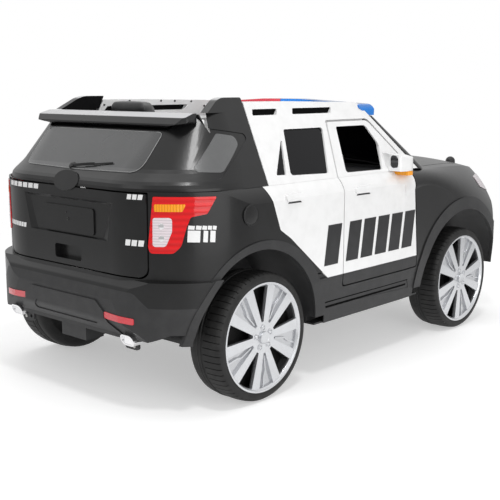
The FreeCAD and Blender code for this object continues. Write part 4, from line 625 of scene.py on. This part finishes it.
class SUV_OT_wheel_fittings(bpy.types.Operator):
    """Adds the thin bent ribs, the five nuts and the hub cap of each wheel trim"""
    bl_idname = "patrol_suv.wheel_fittings"
    bl_label = "Wheel trims"

    def execute(self, context):
        width = context.scene.suv_wheels.rib_width / MM
        for name in WHEELS:
            start = math.radians(PAIR_ANGLE[name])
            ribs, nuts = [], []
            for i in range(PAIRS):
                angle = start + math.tau * i / PAIRS
                path = [wheel_point(r, o, angle, RIB_DEPTH) for r, o in RIB]
                across = (-math.sin(angle), 0, math.cos(angle))
                ribs.append(bent_bar(path, across, width, RIB_THICK))
                spot = wheel_point(NUT_RING, 0.0, angle + math.pi / PAIRS, NUT_DEPTH)
                nuts.append(self.nut(spot))
            trim = rounded(joined(ribs), 0.5, 2)
            for piece, title in ((trim, "ribs_"), (joined(nuts), "nuts_"), (self.cap(), "cap_")):
                piece = turned(tidy_mesh(piece), onto_wheel(name))
                settle([piece], title + name, "silver", body="wheel_" + name, angle=40.0)
        return {"FINISHED"}

    def nut(self, spot):
        """Domed nut in a shallow cup."""
        stud = rounded(drum(spot, (0, 1, 0), 4.6, 5.0, 6), 1.4, 3)
        cup = drum((spot[0], spot[1] + 0.4, spot[2]), (0, 1, 0), 6.8, 2.6, 28)
        stepped(cup, lambda face: face.normal.y > 0.9, (1.1, 0.0), (0.4, -1.8))
        return joined([cup, stud])

    def cap(self):
        """Flat hub cap with a rounded rim."""
        disc = drum((0, -2.0, 0), (0, 1, 0), 13.5, 6.4, 48)
        stepped(disc, lambda face: face.normal.y > 0.9, (1.6, 0.0), (0.6, -0.6))
        return rounded(disc, 0.5, 2)


# ---------------------------------------- markings
OUTSIDE, BEHIND = 420.0, -700.0        # Y beyond every side panel, X behind the tail
MISSED = 0.02                          # metres; a point moved less than this met no panel
HAIR = 0.0003                          # metres; thickness of a film of painted shade
FILM_GAP = 0.00015                     # metres; a film stands this far off its panel


def film_strip(corners, target, away, thick, cuts):
    """A thin stick-on strip through four corners, laid on a panel along away."""
    calm()
    bpy.ops.mesh.primitive_plane_add(size=1.0)
    strip = bpy.context.object
    for vertex, turn in zip(strip.data.vertices, (0, 1, 3, 2)):
        vertex.co = Vector(corners[turn]) * MM
    edit(strip)
    bpy.ops.mesh.select_all(action="SELECT")
    bpy.ops.mesh.subdivide(number_cuts=cuts)
    calm()
    away = Vector(away)
    finish_with(strip, "SHRINKWRAP", target=NODES[target], wrap_method="PROJECT",
                use_project_x=abs(away.x) > 0.5, use_project_y=abs(away.y) > 0.5,
                use_negative_direction=True, use_positive_direction=True, offset=FILM_GAP)
    plane = Vector(corners[0]) * MM
    mesh = edit(strip, "VERT")
    choose(strip, mesh.verts, lambda vertex: abs((vertex.co - plane).dot(away)) < MISSED)
    bpy.ops.mesh.delete(type="VERT")
    calm()
    tidy_mesh(strip)
    if sum((face.normal for face in strip.data.polygons), Vector()).dot(away) < 0:
        strip.data.flip_normals()
    return finish_with(strip, "SOLIDIFY", thickness=thick, offset=1.0)


def side_film(side, spots, target, thick, cuts):
    """A strip on a panel of one side, its four corners given as X and Z."""
    corners = [(x, side * OUTSIDE, z) for x, z in spots]
    return film_strip(corners, target, (0, side, 0), thick, cuts)


# First and last X at the foot of each bar
PANEL_BARS = ((-214.0, -164.0),)
DOOR_BARS = ((-134.0, -88.0), (-77.0, -31.0), (-20.0, 26.0), (37.0, 83.0), (94.0, 140.0))
BAR_LOW, BAR_HIGH = 262.0, 352.0

TAIL_BARS = (
    # name, y from, y to, low Z, high Z, number of bars
    ("upper_left", 213.0, 92.0, 436.0, 446.5, 6),
    ("upper_right", -191.0, -227.0, 436.5, 446.5, 3),
    ("lower_right", -183.0, -227.0, 344.5, 356.5, 3),
    ("lower_left", 226.0, 147.0, 347.0, 357.0, 7),
)
TAIL_BAR_SHARE = 0.78                  # share of the pitch that a tail bar fills
TAIL_BAR_LEAN = 2.0

CORNER_BARS = (
    # first and last X, low Z, high Z
    (-575.0, -565.5, 380.5, 388.0), (-563.5, -555.0, 380.0, 387.7), (-553.5, -546.0, 379.7, 387.3),
    (-544.5, -537.5, 379.4, 387.0), (-536.0, -529.5, 379.0, 386.6),
    (-576.0, -557.0, 355.5, 378.5), (-552.0, -544.5, 355.0, 377.5), (-540.5, -531.5, 354.5, 377.0),
)


class SUV_OT_markings(bpy.types.Operator):
    """Lays plain bars on the doors, the tail and the rear corners where the toy carries words"""
    bl_idname = "patrol_suv.markings"
    bl_label = "Markings"

    def execute(self, context):
        marks = context.scene.suv_marks
        lean = marks.slant / MM
        for side, title in SIDES:
            for name, bars, node, body in (
                    ("panel_bar_", PANEL_BARS, "side_panels", "car_body"),
                    ("door_bars_", DOOR_BARS, "door_" + title, "door_" + title)):
                strips = []
                for x0, x1 in bars:
                    spots = ((x0, BAR_LOW), (x1, BAR_LOW),
                             (x1 + lean, BAR_HIGH), (x0 + lean, BAR_HIGH))
                    strips.append(side_film(side, spots, node, marks.film, 14))
                settle(strips, name + title, "satin_black", "mark_dark", body)
            strips = []
            for x0, x1, z0, z1 in CORNER_BARS:
                spots = ((x0, z0), (x1, z0 - 1.0), (x1 + 1.0, z1 - 1.0), (x0 + 1.0, z1))
                strips.append(side_film(side, spots, "rear_quarters", marks.film, 8))
            settle(strips, "corner_bars_" + title, "white", "mark_light")
        for name, y0, y1, z0, z1, count in TAIL_BARS:
            strips = []
            pitch = (y1 - y0) / count
            for i in range(count):
                a, b = y0 + pitch * i, y0 + pitch * (i + TAIL_BAR_SHARE)
                corners = [(BEHIND, a, z0), (BEHIND, b, z0), (BEHIND, b - TAIL_BAR_LEAN, z1),
                           (BEHIND, a - TAIL_BAR_LEAN, z1)]
                strips.append(film_strip(corners, "tailgate", (-1, 0, 0), marks.film, 2))
            settle(strips, "tail_bars_" + name, "white", "mark_light")
        return {"FINISHED"}


# ---------------------------------------- tail and sides
def feel(node, spot, way):
    """Where a ray from a spot, in millimetres, first meets a solid: hit, place and normal."""
    return NODES[node].ray_cast(Vector([c * MM for c in spot]), Vector(way))[:3]


def tail_point(y, z, lift=0.0, nodes=("rear_window", "rear_shell", "badge_disc")):
    """The tail's surface at y and z, raised by lift along its normal, all in millimetres."""
    best, way = None, Vector((-1, 0, 0))
    for node in nodes:
        hit, spot, normal = feel(node, (-900.0, y, z), (1, 0, 0))
        if hit and (best is None or spot.x < best.x):
            best, way = spot, normal
    if best is None:
        near = Vector((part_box(nodes[0])[0].x, y * MM, z * MM))
        _, best, way, _ = NODES[nodes[0]].closest_point_on_mesh(near)
    return best / MM + way * lift


# Wiper, each point as Y and Z: pivot, bend, end of the arm and tip of the blade
WIPER = ((15.9, 487.5), (-21.6, 489.9), (-53.7, 493.6), (-106.0, 498.9))
BEAD_RADIUS = 0.65
BEAD_CUTS = 6                          # points of the bead between two of its outline


class SUV_OT_rear_fittings(bpy.types.Operator):
    """Adds the wiper, the bead round the rear window, raised to catch the light and pale grey as a
    painted highlight on the window's edge, and the small screws of the tail
    """
    bl_idname = "patrol_suv.rear_fittings"
    bl_label = "Tail fittings"

    def execute(self, context):
        self.wiper()
        self.bead()
        self.screws()
        return {"FINISHED"}

    def bead(self):
        low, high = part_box("rear_window")
        wide, foot, top = high.y / MM - 1.2, low.z / MM, high.z / MM - 1.2
        outline = rounded_outline([
            ((0, -wide, foot + 4.2), 23.0), ((0, -wide, top), 11.0), ((0, wide, top), 11.0),
            ((0, wide, foot + 4.2), 23.0), ((0, 0, foot + 1.4), 8.0)], 8)
        points = []
        for i, point in enumerate(outline):
            following = outline[(i + 1) % len(outline)]
            for k in range(BEAD_CUTS):
                between = point.lerp(following, k / BEAD_CUTS)
                points.append(tail_point(between.y, between.z, 0.0, ("rear_window",)))
        # pale grey of the bead: painted highlight along the rear window's edge, besides the light
        # its gloss catches
        settle([wire_loop(points, BEAD_RADIUS)], "rear_window_highlight_bead", "grey_pane", "bead_highlight_grey",
               angle=60.0)

    def wiper(self):
        """Short wiper of the body's own black, its pivot just over the badge."""
        hub = tail_point(*WIPER[0])
        normal = Vector((-0.80, 0.0, 0.60))
        knob = rounded(drum(hub + normal * 2.0, normal, 6.5, 6.0, 36), 2.0, 4)
        flange = rounded(drum(hub + normal * 0.4, normal, 10.0, 2.0, 36), 0.8, 2)
        arm = [hub + normal * 3.0, tail_point(*WIPER[1], 4.5), tail_point(*WIPER[2], 4.0)]
        blade = [tail_point(*WIPER[1], 3.0), tail_point(*WIPER[2], 2.6), tail_point(*WIPER[3], 2.0)]
        bars = [rounded(bent_bar(points, (0, 0.1, 1), width, thick), 0.8, 2)
                for points, width, thick in ((arm, 6.0, 2.4), (blade, 3.2, 2.6))]
        settle([knob, flange, *bars], "rear_wiper", "satin_black")

    def screws(self):
        low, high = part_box("number_plate")
        middle = (low + high) / 2 / MM
        heads = [self.screw((low.x / MM, middle.y, middle.z), 3.2),
                 self.screw((low.x / MM, middle.y + 6.0, high.z / MM - 14.0), 1.6)]
        settle(heads, "plate_screws", "satin_black", "gloss_black")
        low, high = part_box("rear_brackets")
        x, y, z = low.x / MM + 13.8, high.y / MM - 11.0, low.z / MM + 14.0
        bolts = [self.screw((x, side * y, z), 4.0) for side in (1, -1)]
        settle(bolts, "bracket_bolts", "steel")

    def screw(self, spot, radius):
        """Domed head facing the rear, with a round recess."""
        way = Vector((-1, 0, 0))
        head = rounded(drum(Vector(spot) + way * 0.5, way, radius, 1.8, 24), 0.6, 2)
        return stepped(head, lambda face: face.normal.dot(way) > 0.95,
                       (radius * 0.35, 0.0), (0.2, -0.8))


# Lines of painted shade along the long hollow of each sill
SILL_LINES = (
    # rear end and front end as X and Z, height
    ((-200.0, 164.0), (128.0, 164.0), 4.5),
    ((-203.0, 176.0), (134.0, 176.0), 2.2),
)
# Flat dark films of painted shade for the finger recesses behind the door handles
HANDLE_SHADES = (
    # name, first and last X, Z, whether it is on the door
    ("rear_handle_shade_", -346.0, -290.0, 425.0, False),
    ("front_handle_shade_", -103.0, -39.0, 421.0, True),
)
RAIL_SLOTS = ((-350.0, -252.0), (-219.0, -58.0))       # first and last X
RAIL_SCREWS = ((-349.0, 608.3), (-272.0, 616.5), (-166.0, 616.0), (-117.0, 615.0), (-56.0, 613.5),
               (0.0, 600.6))                           # X and Z
BACKINGS = (
    # name, spans of X, of Y outwards and of Z, finish
    ("door_stop_", (-92.0, 60.0), (249.0, 252.5), (566.0, 583.0), "white"),
    ("arch_gusset_", (-243.0, -196.0), (343.0, 348.0), (222.0, 246.0), "trim_black"),
)


def side_block(side, x, y, z):
    """A block on one side, from spans of X, of Y outwards and of Z."""
    near, far = sorted(side * out for out in y)
    return block((x[0], near, z[0]), (x[1], far, z[1]))


class SUV_OT_side_fittings(bpy.types.Operator):
    """Adds the filler cap, the rail screws, the backings of the sides, and dark strips of painted
    shade at the door handles, in the rail slots and along the sills
    """
    bl_idname = "patrol_suv.side_fittings"
    bl_label = "Side fittings"

    def execute(self, context):
        self.filler_cap()
        settle([self.boss(x, z, side) for x, z in RAIL_SCREWS for side in (1, -1)],
               "rail_screws", "satin_black", "mark_dark")
        for step in (self.handle_shade, self.slot_shade, self.sill_groove_shade, self.backings):
            for side, title in SIDES:
                step(side, title)
        return {"FINISHED"}

    def filler_cap(self):
        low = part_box("rear_quarters")[0]
        lid = drum((-452.5, low.y / MM + 1.2, 401.0), (0, 1, 0), 22.0, 2.4, 64)
        stepped(lid, lambda face: face.normal.y < -0.9,
                (1.2, 0.0), (0.3, -0.7), (1.2, 0.0), (0.5, 0.8))
        rounded(lid, 0.35, 2)
        settle([lid], "filler_cap", "satin_black", angle=30.0)

    def boss(self, x, z, side):
        """Screw head on the inner face of a roof rail, found from the middle outwards."""
        hit, spot, _ = feel("roof_frame", (x, 0, z), (0, side, 0))
        face_y = spot.y / MM if hit else side * 235.0
        return rounded(drum((x, face_y - side * 0.4, z), (0, side, 0), 3.0, 2.2, 20), 0.6, 2)

    def handle_shade(self, side, title):
        """Flat dark films of painted shade, drawing the finger recesses behind the door handles."""
        for name, x0, x1, z, on_door in HANDLE_SHADES:
            spots = ((x0 + 6.0, z - 12.5), (x1 - 4.0, z - 13.0), (x1 - 8.0, z - 9.5),
                     (x0 + 10.0, z - 9.0))
            strip = side_film(side, spots, "door_" + title if on_door else "side_panels", HAIR, 6)
            settle([strip], name + title, "satin_black", "mark_dark",
                   "door_" + title if on_door else "car_body")

    def slot_shade(self, side, title):
        """Dark strips behind the slots of the roof rail: painted shade seen through the open slots.
        """
        backs = [side_block(side, span, (243.5, 247.0), (588.0, 609.0)) for span in RAIL_SLOTS]
        settle(backs, "rail_slot_shade_" + title, "satin_black", "deep_black")

    def sill_groove_shade(self, side, title):
        """Two dark lines of painted shade that draw the long hollow in each sill."""
        lines = []
        for (x0, z0), (x1, z1), tall in SILL_LINES:
            spots = ((x0, z0), (x1, z1), (x1, z1 + tall), (x0, z0 + tall))
            lines.append(side_film(side, spots, "sills", HAIR, 16))
        settle(lines, "sill_groove_shade_" + title, "trim_black", "deep_black")

    def backings(self, side, title):
        """A stop behind the door's upper shut line, and a gusset behind the foot of the arch."""
        for name, *spans, slot in BACKINGS:
            settle([side_block(side, *spans)], name + title, slot)


# ---------------------------------------- seat pads
VOXEL = 0.006                          # metres
CLOTH_FRAMES = 20
SEAM_Y, SEAM_WIDTH = 0.105, 0.0035     # metres; seams along the seat


def plump(node, settings, channels):
    """A padded cover grown from a plain solid: remeshed, filled, capped and creased."""
    calm()
    pad = twin_of(NODES[node])
    pad.parent = None
    pad.hide_render = pad.hide_viewport = False
    for key in list(pad.keys()):
        del pad[key]
    tidy_mesh(pad)
    low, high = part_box(node)
    middle, size = (low + high) / 2, high - low
    for vertex in pad.data.vertices:
        for axis in range(3):
            share = (size[axis] - 2 * settings.swell * 0.6) / size[axis]
            vertex.co[axis] = middle[axis] + (vertex.co[axis] - middle[axis]) * share
    rounded(pad, 9.0, 4)
    finish_with(pad, "REMESH", mode="VOXEL", voxel_size=VOXEL)
    start = [vertex.co.copy() for vertex in pad.data.vertices]
    only(pad)
    cloth = pad.modifiers.new("Cloth", "CLOTH")
    cloth.settings.use_pressure = True
    cloth.settings.uniform_pressure_force = settings.pressure
    cloth.settings.effector_weights.gravity = 0.0
    cloth.settings.quality = 5
    for step in range(1, CLOTH_FRAMES + 1):
        bpy.context.scene.frame_set(step)
    bpy.ops.object.modifier_apply(modifier=cloth.name)
    bpy.context.scene.frame_set(1)
    for vertex, first in zip(pad.data.vertices, start):
        way = vertex.co - first
        if way.length > settings.swell:
            vertex.co = first + way.normalized() * settings.swell
    for vertex in pad.data.vertices:
        for axis in range(3):
            vertex.co[axis] = min(max(vertex.co[axis], low[axis]), high[axis])
    finish_with(pad, "SUBSURF", levels=1, render_levels=1)
    for vertex in pad.data.vertices:
        for pull, depth in channels:
            away = abs(pull(vertex.co))
            if away < SEAM_WIDTH * 3:
                inwards = (middle - vertex.co).normalized()
                vertex.co += inwards * depth * math.exp(-(away / SEAM_WIDTH) ** 2)
    return pad


class SUV_OT_seat_pads(bpy.types.Operator):
    """Replaces the plain seat solids by filled pads with sewn channels"""
    bl_idname = "patrol_suv.seat_pads"
    bl_label = "Seat pads"

    def execute(self, context):
        for node in ("seat_cushion", "seat_back", "headrest"):
            pad = plump(node, context.scene.suv_pads, self.seams(node))
            settle([pad], node + "_pad", "seat_vinyl", angle=60.0)
            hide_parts(node)
        return {"FINISHED"}

    def seams(self, node):
        """Two seams along a pad and one across it: distance from the seam, and its depth."""
        if node == "headrest":
            return []
        low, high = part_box(node)
        axis, share = (0, 0.5) if node == "seat_cushion" else (2, 0.62)
        cross = low[axis] + (high[axis] - low[axis]) * share
        along = [(lambda p, y=y: p.y - y, 0.0035) for y in (-SEAM_Y, SEAM_Y)]
        return along + [(lambda p: p[axis] - cross if abs(p.y) < SEAM_Y else 1.0, 0.003)]


# ---------------------------------------- cabin and lamps
class SUV_OT_cabin_fittings(bpy.types.Operator):
    """Adds the bezels of the two dials and the switches of the dashboard"""
    bl_idname = "patrol_suv.cabin_fittings"
    bl_label = "Cabin fittings"

    def execute(self, context):
        low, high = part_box("dashboard")
        face_x, top = low.x / MM, high.z / MM
        bezels = []
        for y in (-46.0, 46.0):
            ring = drum((face_x + 14.0, y, top - 14.0), (-0.75, 0, 0.66), 24.0, 6.0, 48)
            stepped(ring, lambda face: face.normal.x < -0.5 and face.calc_area() > 0.0005,
                    (3.0, 0.0), (0.6, -3.0))
            bezels.append(rounded(ring, 0.6, 2))
        settle(bezels, "dial_bezels", "trim_black", "gloss_black")
        keys = []
        for y in (-200.0, -178.0, -156.0, -134.0):
            key = block((face_x + 4.0, y, top - 34.0), (face_x + 12.0, y + 16.0, top - 24.0))
            keys.append(rounded(key, 1.5, 3))
        settle(keys, "dash_switches", "silver")
        return {"FINISHED"}


class SUV_OT_lamps(bpy.types.Operator):
    """Adds two bulbs to each tail lamp"""
    bl_idname = "patrol_suv.lamps"
    bl_label = "Lamp insides"

    def execute(self, context):
        low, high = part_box("tail_lamp_clears")
        for side, title in SIDES:
            bulbs = []
            for z in (low.z / MM + 17.0, high.z / MM - 17.0):
                spot = self.on_lamp(side * 259.0, z)
                bulbs.append(rounded(drum(spot, (-0.84, side * 0.54, 0), 6.0, 1.6, 24), 0.9, 2))
            settle(bulbs, "tail_bulbs_" + title, "chrome")
        return {"FINISHED"}

    def on_lamp(self, y, z):
        """A point just inside the clear part of a tail lamp."""
        hit, spot, _ = feel("tail_lamp_clears", (-800.0, y, z), (1, 0, 0))
        x = spot.x / MM if hit else -630.0
        return (x + 0.2, y, z)


# ---------------------------------------- stage
WHITE_LIGHT = (1.0, 1.0, 1.0, 1.0)
LIGHTS = (
    # name, place, point it faces, size, watts
    ("key", (-1.2, -3.4, 1.0), (0.0, 0.0, 0.4), 2.6, 44.0),
    ("top", (0.3, 0.4, 3.6), (0.0, 0.0, 0.4), 3.0, 34.0),
    ("corner", (-1.0, -1.07, 2.5), (-0.52, -0.255, 0.53), 0.32, 14.0),
    ("rails", (-0.18, -0.10, 0.67), (-0.18, 0.25, 0.605), 0.34, 0.9),
    ("tail", (-3.4, 0.6, 1.8), (-0.4, 0.0, 0.3), 1.6, 8.0),
)
CAMERA_PLACE = (-1.7913, -1.5624, 0.6543)
CAMERA_DOWN, CAMERA_LEFT = 10.17, 42.21                # degrees from level, from straight ahead


class SUV_OT_stage(bpy.types.Operator):
    """Lays the pale floor, sets the soft lights and the camera"""
    bl_idname = "patrol_suv.stage"
    bl_label = "Stage"

    def execute(self, context):
        self.floor()
        self.sky()
        self.lights()
        self.camera()
        context.scene.view_settings.view_transform = "Standard"
        return {"FINISHED"}

    def floor(self):
        """A disc that fades into the sky before its rim."""
        calm()
        bpy.ops.mesh.primitive_circle_add(vertices=96, radius=6.0, fill_type="NGON")
        floor = bpy.context.object
        floor.name = "floor"
        material, tree, shader = blank_material("pale_floor")
        fill(tree, shader, {
            "Base Color": (0.80, 0.80, 0.80, 1.0), "Roughness": 0.9, "Specular IOR Level": 0.0,
            "Emission Color": WHITE_LIGHT, "Emission Strength": 0.42})
        far = add_node(tree, "ShaderNodeVectorMath", {0: coordinates(tree)}, operation="LENGTH")
        fade = ranged(tree, far.outputs["Value"], 0.9, 2.4)
        clear = tree.nodes.new("ShaderNodeBsdfTransparent")
        mix_shaders(tree, fade, shader, clear, "Material Output")
        floor.data.materials.append(material)

    def sky(self):
        """Even light on the toy, a brighter sky higher up in its gloss, and white behind it."""
        world = bpy.data.worlds.new("studio")
        bpy.context.scene.world = world
        world.use_nodes = True
        tree = world.node_tree
        around = fill(tree, tree.nodes["Background"], {"Color": WHITE_LIGHT, "Strength": 0.52})
        path = tree.nodes.new("ShaderNodeLightPath").outputs
        height = split(tree, coordinates(tree, "Generated"))["Z"]
        straight = compute(tree, "MAXIMUM", path["Is Camera Ray"], path["Is Transmission Ray"])
        power = add_node(tree, "ShaderNodeMix", {
            "Factor": straight, 2: ranged(tree, height, 0.0, 0.6, 0.55, 1.05), 3: 1.0})
        seen = add_node(tree, "ShaderNodeBackground",
                        {"Color": WHITE_LIGHT, "Strength": power.outputs[0]})
        shown = compute(tree, "MAXIMUM", straight, path["Is Glossy Ray"])
        mix_shaders(tree, shown, around, seen, "World Output")

    def lights(self):
        for name, spot, aim, size, watts in LIGHTS:
            lamp = bpy.data.lights.new(name, "AREA")
            lamp.size = size
            lamp.energy = watts
            holder = linked(bpy.data.objects.new(name, lamp))
            holder.location = spot
            holder.visible_camera = False
            holder.rotation_euler = (Vector(aim) - Vector(spot)).to_track_quat("-Z", "Y").to_euler()

    def camera(self):
        camera = bpy.data.cameras.new("camera")
        camera.lens = 65.99
        camera.sensor_width = 36.0
        holder = linked(bpy.data.objects.new("camera", camera))
        holder.location = CAMERA_PLACE
        holder.rotation_euler = (math.radians(90.0 - CAMERA_DOWN), 0.0,
                                 math.radians(CAMERA_LEFT - 90.0))
        bpy.context.scene.camera = holder


# ---------------------------------------- finishes on the solids
OWN_FINISH = {"rear_reflectors": "reflector_red", "light_bar_red": "bar_red",
              "quarter_windows": "quarter_pane"}


class SUV_OT_finishes(bpy.types.Operator):
    """Paints every CAD part with the finish of its material slot, or with a finish of its own"""
    bl_idname = "patrol_suv.finishes"
    bl_label = "Finishes"

    def execute(self, context):
        FINISHES.update(make_finishes(context.scene.suv_paint))
        for part in frame["record"]["subparts"]:
            node, slot = part["node"], part["material_slot"]
            NODES[node].data.materials.clear()
            NODES[node].data.materials.append(FINISHES[OWN_FINISH.get(node, slot)])
        return {"FINISHED"}


# ---------------------------------------- add-on
STEPS = (SUV_OT_finishes, SUV_OT_tyres, SUV_OT_wheel_fittings, SUV_OT_seat_pads,
         SUV_OT_rear_fittings, SUV_OT_side_fittings, SUV_OT_cabin_fittings, SUV_OT_lamps,
         SUV_OT_markings, SUV_OT_stage)


class SUV_PT_panel(bpy.types.Panel):
    """Lists the steps and the sizes and colours they use"""
    bl_idname = "SUV_PT_panel"
    bl_label = "Patrol SUV"
    bl_space_type = "VIEW_3D"
    bl_region_type = "UI"
    bl_category = "Patrol SUV"

    def draw(self, context):
        column = self.layout.column()
        for settings in SETTINGS:
            owner = getattr(context.scene, settings)
            for key in owner.__annotations__:
                column.prop(owner, key)
        for step in STEPS:
            column.operator(step.bl_idname)


SETTINGS = {"suv_paint": PaintSettings, "suv_wheels": WheelSettings, "suv_marks": MarkSettings,
            "suv_pads": PadSettings}
CLASSES = tuple(SETTINGS.values()) + STEPS + (SUV_PT_panel,)


def register():
    for cls in CLASSES:
        bpy.utils.register_class(cls)
    for name, cls in SETTINGS.items():
        setattr(bpy.types.Scene, name, bpy.props.PointerProperty(type=cls))


def unregister():
    for name in SETTINGS:
        delattr(bpy.types.Scene, name)
    for cls in reversed(CLASSES):
        bpy.utils.unregister_class(cls)


def main():
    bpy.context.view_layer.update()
    register()
    for step in STEPS:
        getattr(bpy.ops.patrol_suv, step.bl_idname.split(".")[1])()
    calm()


if __name__ == "__main__":
    main()
